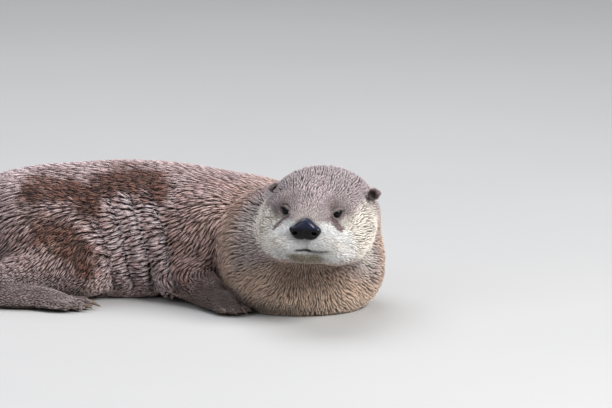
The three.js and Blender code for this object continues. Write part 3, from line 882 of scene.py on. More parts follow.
@dataclass(frozen=True)
class Markings:
    """Where each tone lies on the animal, where light, sheen and shade are painted into the tones, and where
    its coat has dried.
    """

    dry_upper: tuple[tuple[float, float], ...] = ((-154, 104), (-128, 105), (-106, 98), (-96, 84))
    dry_lower: tuple[tuple[float, float], ...] = ((-150, 74), (-128, 68), (-112, 50), (-106, 40))
    streak: tuple[tuple[float, float], ...] = ((-96, 101), (-74, 110), (-50, 113), (-34, 103))
    under_eye: tuple[tuple[float, float], ...] = ((18.5, -12.5), (23.5, -17), (29.5, -23))

    def dryness(self, p: Array) -> Array:
        """How dry and ruffled the coat is, 0 to 1.

        Args:
            p: points in the drawing's frame.

        Returns:
            One share a point.
        """
        x, y, z = p.T
        wander = 4.5 * ripple(p, 24, 5) + 2.5 * ripple(p, 8, 15)
        upper = smooth(17, 5, line_gap(x, z, self.dry_upper) + wander)
        lower = smooth(20, 7, line_gap(x, z, self.dry_lower) + wander)
        band = 0.95 * smooth(17, 6, line_gap(x, z, self.streak) + wander)
        return np.maximum(np.maximum(upper, lower), band) * smooth(4, -36, y + 15 * ripple(p, 16, 6))

    def heft(self, p: Array) -> Array:
        """How thick the wet clumps are against the common run.

        Args:
            p: points in the drawing's frame.

        Returns:
            One factor a point.
        """
        x, _, z = p.T
        flank = smooth(-112, -92, x) * smooth(-14, -36, x) * smooth(108, 92, z)
        return 1 + 0.65 * flank + 0.28 * self.crown(p)

    @staticmethod
    def crown(p: Array) -> Array:
        """The share of the crown of the head, where the wet ridges are bold."""
        q = HEAD.local(p)
        return smooth(-6, 12, q[:, 2]) * smooth(-66, -34, q[:, 1]) * smooth(46, 20, q[:, 1])

    def stretch(self, p: Array) -> Array:
        """How much longer and finer than the common run the clumps are, on neck, throat and crown."""
        front = smooth(24, 46, p[:, 0] - 0.25 * (p[:, 1] + 60))
        return front * np.maximum(smooth(60, 96, np.linalg.norm(p - NOSE_TIP, axis=1)), 0.9 * self.crown(p))

    @staticmethod
    def calm(p: Array) -> Array:
        """How even the painted shading of a lock is, along the top of the back and tail."""
        x, _, z = p.T
        return np.maximum(smooth(88, 110, z) * smooth(60, 20, x), smooth(-190, -260, x))

    def painted_sheen(self, p: Array) -> Array:
        """How much painted sheen, a grey sky reflection, the wet tips hold, 0 to 1.

        Args:
            p: points in the drawing's frame.

        Returns:
            One share a point.
        """
        x, _, z = p.T
        q = HEAD.local(p)
        share = 0.30 + 0.12 * ripple(p, 22, 9)
        flank = smooth(-108, -92, x) * smooth(-20, -36, x) * smooth(102, 88, z)
        rump = smooth(-96, -120, x)
        share = share + 0.40 * flank + 0.28 * rump
        share = mix(share, 0.12, smooth(20, 60, x) * smooth(110, 90, z))
        top = smooth(-30, -10, q[:, 2]) * smooth(30, 10, q[:, 1]) * smooth(62, 50, np.abs(q[:, 0]))
        share = mix(share, 0.42, top)
        pale = smooth(0.30, 0.5, self.tones(p).mean(1))
        return np.clip(share * (1 - self.dryness(p)) * (1 - pale), 0, 0.8)

    def tones(self, p: Array) -> Array:
        """The tone of points of the skin, in linear light.

        Args:
            p: points in the drawing's frame.

        Returns:
            Red, green and blue, one row a point.
        """
        x, y, z = p.T
        wander = ripple(p, 30, 3)
        fine = ripple(p, 9, 4)

        def laid(colour: Array, tone: Tone, share: Array) -> Array:
            """Lays a tone over the colour where its share is 1."""
            return mix(colour, tone.light, np.clip(share, 0, 1)[:, None])

        c = np.repeat(Tone.FLANK.light[None], len(p), axis=0)
        # The top of the back is laid lighter and violet-grey: partly its own tone, partly painted sky sheen.
        c = laid(c, Tone.BACK, smooth(78, 112, z + 6 * wander))
        c = laid(c, Tone.THROAT, smooth(26, 4, z + 5 * wander) * 0.5)
        streak = smooth(12, 2, line_gap(x, z, self.streak) + 3 * fine) * smooth(10, -20, y)
        c = laid(c, Tone.STREAK, streak * 0.95)
        c = laid(c, Tone.RUST, self.dryness(p) * 0.95)
        whorl = np.hypot(x + 141, z - 57)
        c = laid(c, Tone.WHORL, smooth(15, 4, whorl + 3 * fine) * smooth(0, -40, y) * 0.8)
        # Painted shade in the pleats of loose skin on the flanks.
        c = c * (1 - 0.17 * np.clip(BODY.folds(p), 0, 4.5))[:, None]
        c = laid(c, Tone.TAIL, smooth(-200, -290, x))
        c = laid(c, Tone.TAIL_TIP, smooth(-420, -580, x))
        c = laid(c, Tone.SHOULDER, smooth(-20, 30, x + 6 * wander) * smooth(112, 84, z))
        front = smooth(24, 46, x - 0.25 * (y + 60) + 5 * wander)
        c = laid(c, Tone.NECK, front * mix(1, 0.25, smooth(88, 108, z)))
        ball = smooth(96, 60, z) * front * smooth(-20, -70, y)
        c = laid(c, Tone.THROAT, ball)
        c = laid(c, Tone.BREAST, smooth(34, 8, z + 4 * wander) * ball)
        c = self.face(p, c, laid, wander, fine)
        c = laid(c, Tone.PAW, smooth(20, -3, BODY.paws(p) + 4 * fine) * smooth(120, 60, z))
        return c * (1 + 0.05 * fine + 0.05 * wander)[:, None]

    def face(
        self, p: Array, c: Array, laid: Callable[[Array, Tone, Array], Array], wander: Array, fine: Array
    ) -> Array:
        """Lays the head's tones over the body's.

        Args:
            p: points in the drawing's frame.
            c: the body's tones.
            laid: lays a tone over a colour.
            wander: broad noise.
            fine: close noise.

        Returns:
            The tones with the face on them.
        """
        x, y, z = HEAD.local(p).T
        m = np.abs(x)
        head = smooth(-78, -52, z + 0.35 * (y + 40)) * smooth(34, 4, y) * smooth(90, 60, m)
        c = laid(c, Tone.CROWN, head) * (1 - 0.32 * self.crown(p))[:, None]
        # Darker under the chin: partly darker fur, partly painted shade under the chin's overhang.
        chin_dark = smooth(-50, -60, z) * smooth(-96, -74, z) * smooth(44, 24, m) * smooth(-20, -50, y)
        c = laid(c, Tone.UNDER_CHIN, chin_dark * 0.85)
        side = smooth(34, 44, m + 2 * wander) * smooth(0, -14, z + 4 * fine) * smooth(16, -14, y)
        low = smooth(mix(-50, -96, smooth(-30, 30, x)), mix(-34, -56, smooth(-30, 30, x)), z + 4 * fine)
        c = laid(c, Tone.CHEEK, side * low * mix(0.62, 0.92, smooth(-30, 30, x)))
        jaw = -50 + 0.20 * np.maximum(m - 14, 0) - 6 * smooth(10, 40, x)
        fade = smooth(jaw - 7, jaw + 6, z + 2.5 * fine)
        under = smooth(-12, -20, z - 0.22 * (m - 20) + 1.5 * fine) * smooth(-22, -46, y + 2 * wander)
        c = laid(c, Tone.CHEEK, under * fade)
        c = laid(c, Tone.CHEEK, smooth(17, 9, np.hypot(m, z + 10)) * smooth(-74, -88, y) * 0.35)
        muzzle = smooth(-11.5, -17, z + 0.10 * m + 1.2 * fine) * smooth(-60, -76, y + 2 * fine)
        c = laid(c, Tone.WHITE, muzzle * fade)
        chin = smooth(-42, -45, z) * smooth(-60, -52, z) * smooth(20, 11, m) * smooth(-60, -76, y)
        c = laid(c, Tone.CHIN, chin)
        # The stripe under each eye runs along its crease: partly its own brown, partly painted shade of the
        # crease.
        stripe = smooth(2.9, 0.2, line_gap(m, z, self.under_eye) + 1.0 * fine) * smooth(-50, -64, y)
        c = laid(c, Tone.STRIPE, stripe * 0.95)
        # A darker patch over each sunken eye is painted shade.
        for side in (-1, 1):
            patch = np.array(HEAD.eye) * (side, 1, 1) + (HEAD.middle - 2.5, 0, 3.5)
            gap = np.linalg.norm(np.stack([x, y, z], axis=1) - patch, axis=1)
            c = laid(c, Tone.EYE_HOLLOW_SHADE, smooth(7.8, 3.8, gap + fine) * 0.65)
        gape = np.exp(-(((z - FACE.mouth_line(m)) / 1.35) ** 2)) * smooth(2, -2, FACE.parted(p))
        gape = gape * smooth(-74, -84, y)
        c = laid(c, Tone.LIP, gape)
        shown = smooth(-40, -55, y)
        over, rims_and_crease_shade = FACE.lids(p)
        # Painted light on the lid's fold; the lid's dark rims with painted shade in the crease above.
        c = laid(c, Tone.LID_FOLD_LIGHT, over * shown)
        c = laid(c, Tone.LID, rims_and_crease_shade * shown)
        ear, inside = FACE.ear(p)
        c = laid(c, Tone.EAR, smooth(2.5, 0.5, ear) * smooth(-30, -10, y))
        return laid(c, Tone.EAR_INSIDE, smooth(1.3, -0.2, inside) * smooth(3, 1, ear) * smooth(-30, -10, y))


@dataclass
class Face:
    """The folds of the face's skin: lids, creases, mouth and ears."""

    gaze: Triple = (0.34, -0.93, 0.10)
    lid: float = 1.0
    half_length: float = 5.6
    upper: float = 1.7
    lower: float = 3.5
    slant: float = 0.38
    splay: float = 34
    lean: float = -8

    def __post_init__(self) -> None:
        """Works out the frames of the eye and ear, on the animal's left."""
        self.forward = unit(np.array(self.gaze))
        across = np.array([1, 0, self.slant])
        self.across = unit(across - self.forward * (across @ self.forward))
        self.upward = np.cross(self.across, self.forward)
        if self.upward[2] < 0:
            self.upward = -self.upward
        a, b = math.radians(-self.splay), math.radians(self.lean)
        about_z = np.array([[math.cos(a), -math.sin(a), 0], [math.sin(a), math.cos(a), 0], [0, 0, 1]])
        about_x = np.array([[1, 0, 0], [0, math.cos(b), -math.sin(b)], [0, math.sin(b), math.cos(b)]])
        self.ear_turn = about_z @ about_x

    @staticmethod
    def mirrored(p: Array) -> Array:
        """Points in the head's frame, folded onto the animal's left.

        Args:
            p: points in the drawing's frame.

        Returns:
            The points in the head's frame, with x never below 0.
        """
        q = HEAD.local(p)
        q[:, 0] = np.abs(q[:, 0] - HEAD.middle)
        return q

    def eye_axes(self, p: Array) -> tuple[Array, Array, Array, Array]:
        """Distance from the eye's centre, and the parts of it across, up and forward.

        Args:
            p: points in the drawing's frame.

        Returns:
            The distance, and the parts across, up and forward.
        """
        off = self.mirrored(p) - np.array(HEAD.eye)
        r = np.linalg.norm(off, axis=1)
        return r, off @ self.across, off @ self.upward, off @ self.forward

    def edges(self, u: Array) -> tuple[Array, Array]:
        """The heights of the upper and lower lid's edges along the eye."""
        bow = 1 - (u / self.half_length) ** 2
        return self.upper * bow, -self.lower * bow * (1 - 0.09 * u)

    def lids(self, p: Array) -> tuple[Array, Array]:
        """How strongly the painted light on the fold over the eye, and the dark rims with the painted shade
        in the crease above, show at points.

        Args:
            p: points of the skin.

        Returns:
            The share of painted light on the fold, and the share of the dark rims with the painted crease
            shade.
        """
        _, u, v, w = self.eye_axes(p)
        high, _ = self.edges(u)
        front = smooth(0, 1.5, w)
        above = np.where(np.abs(u) < self.half_length, v - high, v)
        # The pale fold over the lid is painted light.
        fold = smooth(0.7, 1.1, above) * smooth(4.2, 3.2, above) * smooth(6.4, 4.6, np.abs(u))
        rims = smooth(1.0, 0.5, self.opening(p)) * smooth(7.4, 6.2, np.abs(u))
        tail = np.exp(-(((v + 0.28 * (u - 4.6) - 0.4) / 0.8) ** 2))
        tail = tail * smooth(3.4, 4.8, u) * smooth(10.5, 8.0, u)
        # The crease over the fold is painted shade.
        crease = np.exp(-(((above - 3.9) / 0.8) ** 2)) * smooth(7.0, 4.6, np.abs(u))
        return fold * front, np.maximum(np.maximum(rims, 0.95 * tail), 0.45 * crease) * front

    def opening(self, p: Array) -> Array:
        """Distance in the eye's plane to the opening between the lids.

        Args:
            p: points in the drawing's frame.

        Returns:
            One distance a point, negative in the opening.
        """
        _, u, v, w = self.eye_axes(p)
        high, low = self.edges(u)
        return np.where(w > 0, np.maximum(v - high, low - v) * 0.8, 20.0)

    @staticmethod
    def mouth_line(m: Array) -> Array:
        """The height of the gape at a place from the middle."""
        return -40.6 + 0.9 * np.exp(-((m / 3) ** 2)) + 0.8 * smooth(10, 26, m)

    @staticmethod
    def parted(p: Array) -> Array:
        """How far a point is beyond the ends of the shown part of the lips."""
        return np.abs(HEAD.local(p)[:, 0] - 6.5) - 16.0

    @staticmethod
    def from_ear(p: Array) -> Array:
        """How far points are from the nearer ear's centre, with both ears turned to the left.

        Args:
            p: points in the drawing's frame.

        Returns:
            One offset a point.
        """
        q = HEAD.local(p)
        q[:, 0] = np.abs(q[:, 0] - HEAD.ear_middle)
        return q - np.array(HEAD.ear)

    def ear(self, p: Array) -> tuple[Array, Array]:
        """Distance to the ear's skin, and to the hollow in it.

        Args:
            p: points in the drawing's frame.

        Returns:
            The ear's distance and the hollow's.
        """
        q = self.from_ear(p) @ self.ear_turn
        outer = np.clip(q[:, 0], 0, 8)
        tapered = np.stack([q[:, 0], q[:, 1], (q[:, 2] - 0.22 * outer) * (1 + 0.09 * outer)], axis=1)
        leaf = ellipsoid(tapered, (6.6, 3.7, 5.3))
        hollow = ellipsoid(q - (0.2, -4.0, 0.0), (4.4, 3.9, 3.8))
        tragus = ellipsoid(q - (-2.2, -2.6, -3.6), (2.1, 1.6, 1.8))
        shell = -blended(-leaf, hollow, 1.4)
        return blended(shell, tragus, 2), hollow

    def folded(self, p: Array, d: Array) -> Array:
        """Adds the folds of the face to the skin's distance.

        Args:
            p: points near the head.
            d: the plain skin's distance there.

        Returns:
            The distance with lids, creases, gape and ears.
        """
        q = self.mirrored(p)
        m, y, z = q.T
        r, u, v, w = self.eye_axes(p)
        ball = r - (HEAD.eye_radius + self.lid)
        d = blended(d, ball, 4.5)
        high, low = self.edges(u)
        along = np.exp(-((u / 6.6) ** 4)) * smooth(0, 2, w)
        d = d + 0.9 * np.exp(-(((v - high - 3.2) / 0.75) ** 2)) * along
        d = d + 0.35 * np.exp(-(((v - low + 2.0) / 0.7) ** 2)) * along
        hole = np.maximum(self.opening(p), HEAD.eye_radius - 0.7 - r)
        d = -blended(-d, hole, 0.5)
        front = smooth(-48, -62, y)
        crease = line_gap(m, z, Markings.under_eye)
        d = d + 0.9 * np.exp(-((crease / 1.7) ** 2)) * front
        gape = np.exp(-(((z - self.mouth_line(m)) / 0.85) ** 2))
        d = d + 2.4 * gape * smooth(-66, -78, y) * smooth(4, -2, self.parted(p))
        groove = np.exp(-((m / 0.8) ** 2)) * smooth(-42, -39, z) * smooth(-27, -31, z)
        d = d + 0.9 * groove * smooth(-80, -88, y)
        ear, _ = self.ear(p)
        return blended(d, ear, 4)


FACE = Face()
MARKINGS = Markings()


# ---- the skin


@dataclass
class Skin:
    """One seamless skin that stands for every node of flesh."""

    flesh: tuple[str, ...] = (
        "head", "lower_jaw", "neck", "throat", "shoulders", "loin", "rump", "tail_root", "tail_middle",
        "tail_tip", "foreleg_right", "foreleg_left", "hindleg_right", "hindleg_left", "forepaw_right",
        "forepaw_left", "hindpaw_right", "hindpaw_left", "ear_right", "ear_left",
    )  # fmt: skip
    low: Triple = (-612, -236, -6)
    high: Triple = (188, 144, 152)
    head_low: Triple = (40, -236, 40)
    tail_low: Triple = (-612, -40, -6)
    tail_high: Triple = (-440, 50, 50)
    head_reach: float = 150
    clearance: float = 0.5
    ear_reach: tuple[float, float] = (14, 10)
    eye_reach: float = 11.5
    paw_reach: float = 1.6

    def distance(self, p: Array) -> Array:
        """Distance to the skin.

        Args:
            p: points in the drawing's frame.

        Returns:
            One distance a point.
        """
        d = BODY.outline(p) + BODY.coat_depth(p)
        near = np.linalg.norm(p - np.array(HEAD.at), axis=1) < self.head_reach
        if near.any():
            d[near] = FACE.folded(p[near], d[near])
        return np.maximum(d, self.clearance - p[:, 2])

    def build(self) -> None:
        """Works out the skin's surface, finer on the face, ears and paws."""
        self.field = Field(self.low, self.high, STEP)
        finer = [(self.head_low, (self.high[0], -60, self.high[2])), (self.tail_low, self.tail_high)]
        for paw in PAWS:
            finer.append(((paw.x - 40, paw.y - 80, -6), (paw.x + 106, paw.y + 80, 28)))
        self.field.fill(self.distance, finer)
        points, quads = surface_net(self.field.value.astype(float), self.field.low, STEP)
        tris = np.concatenate([quads[:, [0, 1, 2]], quads[:, [0, 2, 3]]])
        every = np.ones(len(points), bool)
        points = settled(points, tris, self.distance, every, 2, 1.2)
        for test, rounds in ((self.coarse_detail, 2), (self.fine_detail, 3)):
            chosen = test(points[tris].mean(1))
            points, tris = refined(points, tris, chosen)
            moving = np.zeros(len(points), bool)
            moving[tris[test(points[tris].mean(1))]] = True
            points = settled(points, tris, self.distance, moving, rounds, 0.5)
        self.points, self.tris = points, tris
        self.normals = self.vertex_normals()
        LOG.info("skin: %d triangles", len(tris))

    def coarse_detail(self, p: Array) -> Array:
        """True on the face, ears and paws.

        Args:
            p: points in the drawing's frame.

        Returns:
            One truth value a point.
        """
        q = HEAD.local(p)
        face = np.all((q > (-60, -125, -62)) & (q < (60, -30, 40)), axis=1)
        ear = np.linalg.norm(FACE.from_ear(p), axis=1) < self.ear_reach[0]
        return face | ear | (BODY.paws(p) < self.paw_reach)

    def fine_detail(self, p: Array) -> Array:
        """True at the eyes, ears and mouth.

        Args:
            p: points in the drawing's frame.

        Returns:
            One truth value a point.
        """
        q = FACE.mirrored(p)
        eye = np.linalg.norm(q - np.array(HEAD.eye), axis=1) < self.eye_reach
        ear = np.linalg.norm(FACE.from_ear(p), axis=1) < self.ear_reach[1]
        gape = (np.abs(q[:, 2] - FACE.mouth_line(q[:, 0])) < 3) & (q[:, 0] < 27) & (q[:, 1] < -66)
        return eye | ear | gape

    def vertex_normals(self) -> Array:
        """The outward direction of each vertex.

        Returns:
            One direction of length one a vertex.
        """
        a, b, c = (self.points[self.tris[:, k]] for k in range(3))
        face = np.cross(b - a, c - a)
        total = np.zeros_like(self.points)
        for k in range(3):
            for axis in range(3):
                total[:, axis] += np.bincount(self.tris[:, k], face[:, axis], len(self.points))
        return unit(total)

    def dress(self, finish: bpy.types.Material) -> bpy.types.Object:
        """Makes the skin's object, with its tones and its own unwrap.

        Args:
            finish: the skin's material.

        Returns:
            The skin.
        """
        tones = MARKINGS.tones(self.points)
        piece = Piece("skin", self.points, self.tris, "flank_coat", colours={"tint": tones})
        made = piece.made(finish)
        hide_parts(*self.flesh)
        made.data.uv_layers.new(name="OFBake")
        bpy.context.view_layer.objects.active = made
        made.select_set(True)
        bpy.ops.object.mode_set(mode="EDIT")
        bpy.ops.mesh.select_all(action="SELECT")
        bpy.ops.uv.smart_project(angle_limit=math.radians(60), island_margin=0.001)
        bpy.ops.object.mode_set(mode="OBJECT")
        made.select_set(False)
        flat = np.zeros(len(self.tris) * 6, np.float32)
        made.data.uv_layers["OFBake"].uv.foreach_get("vector", flat)
        self.unwrap = flat.reshape(-1, 3, 2)
        return made


# ---- the coat


@dataclass
class Coat:
    """Locks of hair over the skin, each a thin closed spindle that follows the lie of the coat.

    Roots stand apart by spacing_run times the lock's length and spacing_least, less spacing_closer
    on the head, taken to the nearest of the levels. A clump is clump_run times the length and
    clump_least wide, and pull draws the locks within led_within of its leader towards its tip. The
    spine of a lock has four points: along and rise give their share of its length and of the coat's
    depth. pale, shade, across and run hold one value for each of its eight corners, root to tip.
    """

    skin: Skin
    seed: int = 11
    levels: tuple[float, ...] = (0.92, 1.12, 1.4, 1.75, 2.15)
    quick_factor: float = 1.6
    trials: int = 5
    spacing_run: float = 0.120
    spacing_least: float = 0.63
    spacing_closer: float = 0.14
    spacing_stir: float = 0.1
    crowd: int = 40
    rounds: int = 8
    clump_run: float = 0.138
    clump_least: float = 0.34
    clump_reach: float = 0.72
    led_within: float = 2.2
    apart: float = 9.0
    pull: float = 0.72
    leader_width: float = 0.74
    led_width: float = 0.54
    along: tuple[float, ...] = (0.0, 0.28, 0.66, 1.0)
    rise: tuple[float, ...] = (-0.25, 0.72, 0.95, 0.9)
    spine_floor: float = 0.35
    corner_floor: float = 0.3
    # pale: each corner's share of painted sheen, a grey sky reflection, most on the ridge and the tip.
    pale: tuple[float, ...] = (0.0, 0.1, 0.5, 0.1, 0.4, 1.0, 0.4, 1.0)
    # shade: each corner's brightness. The dark sides are painted shade in the gaps between locks and the
    # bright ridge and tip are painted light, over the hair's own darker root and paler tip.
    shade: tuple[float, ...] = (0.25, 0.42, 1.25, 0.42, 0.85, 2.15, 0.85, 2.4)
    across: tuple[float, ...] = (0.5, 0, 0.5, 1, 0, 0.5, 1, 0.5)
    run: tuple[float, ...] = (0, 0.34, 0.34, 0.34, 0.7, 0.7, 0.7, 1.0)
    triangles: tuple[tuple[int, int, int], ...] = (
        (0, 2, 1), (0, 3, 2), (0, 1, 3), (1, 2, 5), (1, 5, 4), (2, 3, 6), (2, 6, 5),
        (3, 1, 4), (3, 4, 6), (7, 4, 5), (7, 5, 6), (7, 6, 4),
    )  # fmt: skip
    patch_width: float = 0.003
    longest: float = 12.5
    length_spread: tuple[float, float] = (0.88, 1.12)
    width_spread: tuple[float, float] = (0.85, 1.15)
    pull_spread: tuple[float, float] = (0.75, 1.15)
    proud_spread: tuple[float, float] = (0.92, 1.06)
    curl: float = 0.045
    taper: float = 0.66
    thick: float = 0.36
    brightest: float = 0.92

    def __post_init__(self) -> None:
        """Starts the coat's own row of random numbers."""
        self.rng = np.random.default_rng(self.seed)

    def length(self, p: Array) -> Array:
        """How long the locks are.

        Args:
            p: the roots.

        Returns:
            One length a root.
        """
        q = FACE.mirrored(p)
        far = np.linalg.norm(q - np.array([0, -92, -24]), axis=1)
        size = mix(2.8, 7.5, smooth(6, 66, far))
        size = mix(size, self.longest, smooth(62, 150, far))
        size = np.minimum(size, mix(4.0, self.longest, smooth(-1, 40, BODY.paws(p))))
        size = np.minimum(size, mix(6.5, self.longest, smooth(-600, -430, p[:, 0])))
        to_ear = np.linalg.norm(FACE.from_ear(p), axis=1)
        size = np.minimum(size, mix(3.0, self.longest, smooth(7, 34, to_ear)))
        to_eye = np.linalg.norm(q - np.array(HEAD.eye), axis=1)
        size = np.minimum(size, mix(2.0, self.longest, smooth(6, 40, to_eye)))
        gape = np.abs(q[:, 2] - FACE.mouth_line(q[:, 0])) + np.maximum(FACE.parted(p), 0)
        return np.minimum(size, mix(1.5, self.longest, smooth(0.5, 30, gape + np.maximum(q[:, 1] + 84, 0))))

    @staticmethod
    def fine(p: Array) -> Array:
        """How much closer the locks stand, on the head and neck."""
        return smooth(28, 50, p[:, 0] - 0.25 * (p[:, 1] + 60)) * smooth(20, 30, BODY.paws(p))

    @staticmethod
    def lie(p: Array, normal: Array) -> Array:
        """The way the hair lies at points of the skin.

        Args:
            p: points of the skin.
            normal: the outward direction there.

        Returns:
            A direction of length one along the skin for each point.
        """
        x, y, z = p.T
        ones = np.ones(len(p))
        low = smooth(104, 40, z)
        flank = smooth(-116, -96, x) * smooth(-10, -34, x)
        way = np.stack([-ones, 0.06 * np.sign(y - 3), -mix(0.55, 0.24, flank) * low], axis=1)
        thigh = smooth(-84, -122, x) * smooth(-215, -180, x) * smooth(100, 60, z)
        way = mix(way, np.array([-0.66, 0, -0.74]), thigh[:, None])
        shoulder = smooth(-36, 8, x) * smooth(108, 66, z)
        way = mix(way, np.array([-0.60, 0, -0.80]), shoulder[:, None])
        off = p - NOSE_TIP
        front = unit(off)
        turned = mix(front, np.array([-0.75, 0.45, -0.35]), smooth(-66, -6, y)[:, None])
        share = smooth(16, 78, x + 0.35 * np.minimum(y + 60, 0) * -1)
        way = mix(way, turned, share[:, None])
        for joints in BODY.limbs.values():
            low_leg = rod(p, joints[1], joints[2])
            run = unit(np.array(joints[2][:3], float) - np.array(joints[1][:3], float))
            way = mix(way, run, (smooth(5, -3, low_leg) * smooth(44, 20, z))[:, None])
        for paw in PAWS:
            near = np.hypot(x - paw.x - 20, y - paw.y) < 90
            d = np.full(len(p), 60.0)
            d[near] = paw.distance(p[near])
            a = math.radians(paw.heading)
            run = np.array([math.cos(a), math.sin(a), -0.15])
            way = mix(way, run, smooth(8, 0, d)[:, None])
        q = HEAD.local(p)
        side = np.where(q[:, :1] > HEAD.ear_middle, 1.0, -1.0)
        spread = FACE.from_ear(p) * np.concatenate([side, ones[:, None], ones[:, None]], 1)
        near = smooth(12, 9, np.linalg.norm(spread, axis=1))
        spread = unit(spread * (1, 0.2, 1) + (0, 0, 2.5)) @ HEAD.turn.T
        way = mix(way, spread, near[:, None])
        tangent = unit(way - normal * (way * normal).sum(1)[:, None])
        turn = 0.22 * ripple(p, 34, 7) + 0.10 * ripple(p, 11, 8)
        turn = turn * smooth(10, 60, np.linalg.norm(off, axis=1))
        side = np.cross(normal, tangent)
        return unit(tangent * np.cos(turn)[:, None] + side * np.sin(turn)[:, None])

    @staticmethod
    def bare(p: Array, normal: Array) -> Array:
        """True where no lock grows: eyes, nose, gape, ear hollows, soles and the floor side.

        Args:
            p: the roots.
            normal: the outward direction at each.

        Returns:
            One truth value a root.
        """
        q = FACE.mirrored(p)
        m, y, z = q.T
        _, u, v, w = FACE.eye_axes(p)
        eye = (np.hypot(u / 6.2, (v - 0.5) / 4.9) < 1) & (w > 1)
        nose = NOSE.shield(p) < -0.2
        gape = (np.abs(z - FACE.mouth_line(m) - 0.2) < 1.1) & (FACE.parted(p) < 0) & (y < -78)
        ear, inside = FACE.ear(p)
        hollow = (inside < 0.8) & (ear < 2)
        under = (p[:, 2] < 0.9) | ((normal[:, 2] < -0.93) & (p[:, 2] < 14))
        sole = (BODY.paws(p) < 1) & (normal[:, 2] < -0.55) & (p[:, 2] < 9)
        return eye | nose | gape | hollow | under | sole

    def grown(self) -> None:
        """Finds the roots of all the locks, evenly but not in rows."""
        skin, rng = self.skin, self.rng
        corner = skin.points[skin.tris]
        centre = corner.mean(1)
        area = np.linalg.norm(np.cross(corner[:, 1] - corner[:, 0], corner[:, 2] - corner[:, 0]), axis=1) / 2
        wanted = self.spacing_run * self.length(centre) + self.spacing_least
        wanted = wanted - self.spacing_closer * self.fine(centre)
        wanted = wanted + rng.uniform(-self.spacing_stir, self.spacing_stir, len(centre))
        level = np.abs(wanted[:, None] - np.array(self.levels)).argmin(1)
        faces, shares = [], []
        for k, size in enumerate(self.levels):
            size *= 1.0
            rows = np.nonzero(level == k)[0]
            total = np.cumsum(area[rows])
            if not len(total):
                continue
            count = int(total[-1] / size**2 * self.trials)
            face = rows[np.searchsorted(total, rng.random(count) * total[-1]).clip(0, len(rows) - 1)]
            a, b = np.sqrt(rng.random(count)), rng.random(count)
            share = np.stack([1 - a, a * (1 - b), a * b], axis=1)
            place = (skin.points[skin.tris[face]] * share[:, :, None]).sum(1)
            cell = np.floor((place + rng.uniform(0, 9)) / size).astype(np.int64)
            key = (cell[:, 0] * 4096 + cell[:, 1]) * 4096 + cell[:, 2]
            first = np.sort(np.unique(key, return_index=True)[1])
            faces.append(face[first])
            shares.append(share[first])
        face, share = np.concatenate(faces), np.concatenate(shares)
        corners = skin.tris[face]
        root = (skin.points[corners] * share[:, :, None]).sum(1)
        normal = unit((skin.normals[corners] * share[:, :, None]).sum(1))
        keep = ~self.bare(root, normal)
        self.root, self.normal = root[keep], normal[keep]
        self.patch = (skin.unwrap[face] * share[:, :, None]).sum(1)[keep]
        LOG.info("coat: %d locks", keep.sum())

    def combed(self) -> None:
        """Gives each lock its length, width and the way it lies, and draws it into a wet clump."""
        rng, root = self.rng, self.root
        count = len(root)
        self.dry = MARKINGS.dryness(root)
        self.size = self.length(root) * rng.uniform(*self.length_spread, count) * mix(1.0, 0.85, self.dry)
        self.ridge = (self.clump_run * self.size + self.clump_least) * MARKINGS.heft(root)
        stretch = MARKINGS.stretch(root)
        self.ridge = self.ridge * (1 - 0.08 * self.fine(root))
        self.size = self.size * (1 + 0.30 * stretch)
        self.ridge = self.ridge * (1 - 0.14 * stretch)
        self.depth = BODY.coat_depth(root)
        jitter = rng.normal(0, 1, count) * mix(0.06, 0.24, self.dry)
        way = self.lie(root, self.normal)
        side = np.cross(self.normal, way)
        way = unit(way * np.cos(jitter)[:, None] + side * np.sin(jitter)[:, None])
        near, gap = self.neighbours(way, np.cross(self.normal, way))
        leads = self.leaders(near, gap)
        gap = np.where(leads[near], gap, self.apart)
        gap[leads] = self.apart
        nearest = gap.argmin(1)
        rows = np.arange(count)
        led = gap[rows, nearest] < self.led_within
        self.leader = np.where(led & ~leads, near[rows, nearest], rows)
        self.astray = np.where(self.leader == rows, 0.0, np.minimum(gap[rows, nearest], 1.3))
        tip = root + way * self.size[:, None]
        meet = tip[self.leader] - root
        pull = self.pull * mix(1.0, 0.35, self.dry) * rng.uniform(*self.pull_spread, count)
        goal = mix(way * self.size[:, None], meet, pull[:, None])
        goal -= self.normal * (goal * self.normal).sum(1)[:, None]
        reach = np.linalg.norm(goal, axis=1)
        self.size = np.clip(reach, 0.6 * self.size, 1.15 * self.size)
        self.way = unit(mix(way, unit(goal), smooth(0.15, 0.4, reach / self.size)[:, None]))
        share = np.where(self.leader == rows, self.leader_width, self.led_width)
        self.width = self.ridge * share * rng.uniform(*self.width_spread, count)

    def neighbours(self, way: Array, side: Array) -> tuple[Array, Array]:
        """Finds the roots round each root, and how far off they are for a clump.

        Args:
            way: the way each lock lies.
            side: the direction across it.

        Returns:
            The numbers of the nearest roots, and distances where 1 is half a clump's length or width.
        """
        root = self.root
        tree = KDTree(len(root))
        for k, place in enumerate(root):
            tree.insert(Vector(place), k)
        tree.balance()
        near = np.array([[hit[1] for hit in tree.find_n(Vector(p), self.crowd)] for p in root])
        off = root[near] - root[:, None]
        across = (off * side[:, None]).sum(2) / self.ridge[:, None]
        along = (off * way[:, None]).sum(2) / (self.clump_reach * self.size[:, None])
        return near, np.hypot(across, along)

    def leaders(self, near: Array, gap: Array) -> Array:
        """Chooses the locks that lead a clump, so that no two are close.

        Args:
            near: the numbers of each root's nearest roots.
            gap: how far off they are for a clump.

        Returns:
            True for each leader.
        """
        rank = self.rng.random(len(near))
        free, leads = np.ones(len(near), bool), np.zeros(len(near), bool)
        close = gap < 1
        for _ in range(self.rounds):
            rival = np.where(close & free[near], rank[near], -1).max(1)
            leads |= free & (rank >= rival)
            free &= ~(leads | (close & leads[near]).any(1))
        return leads

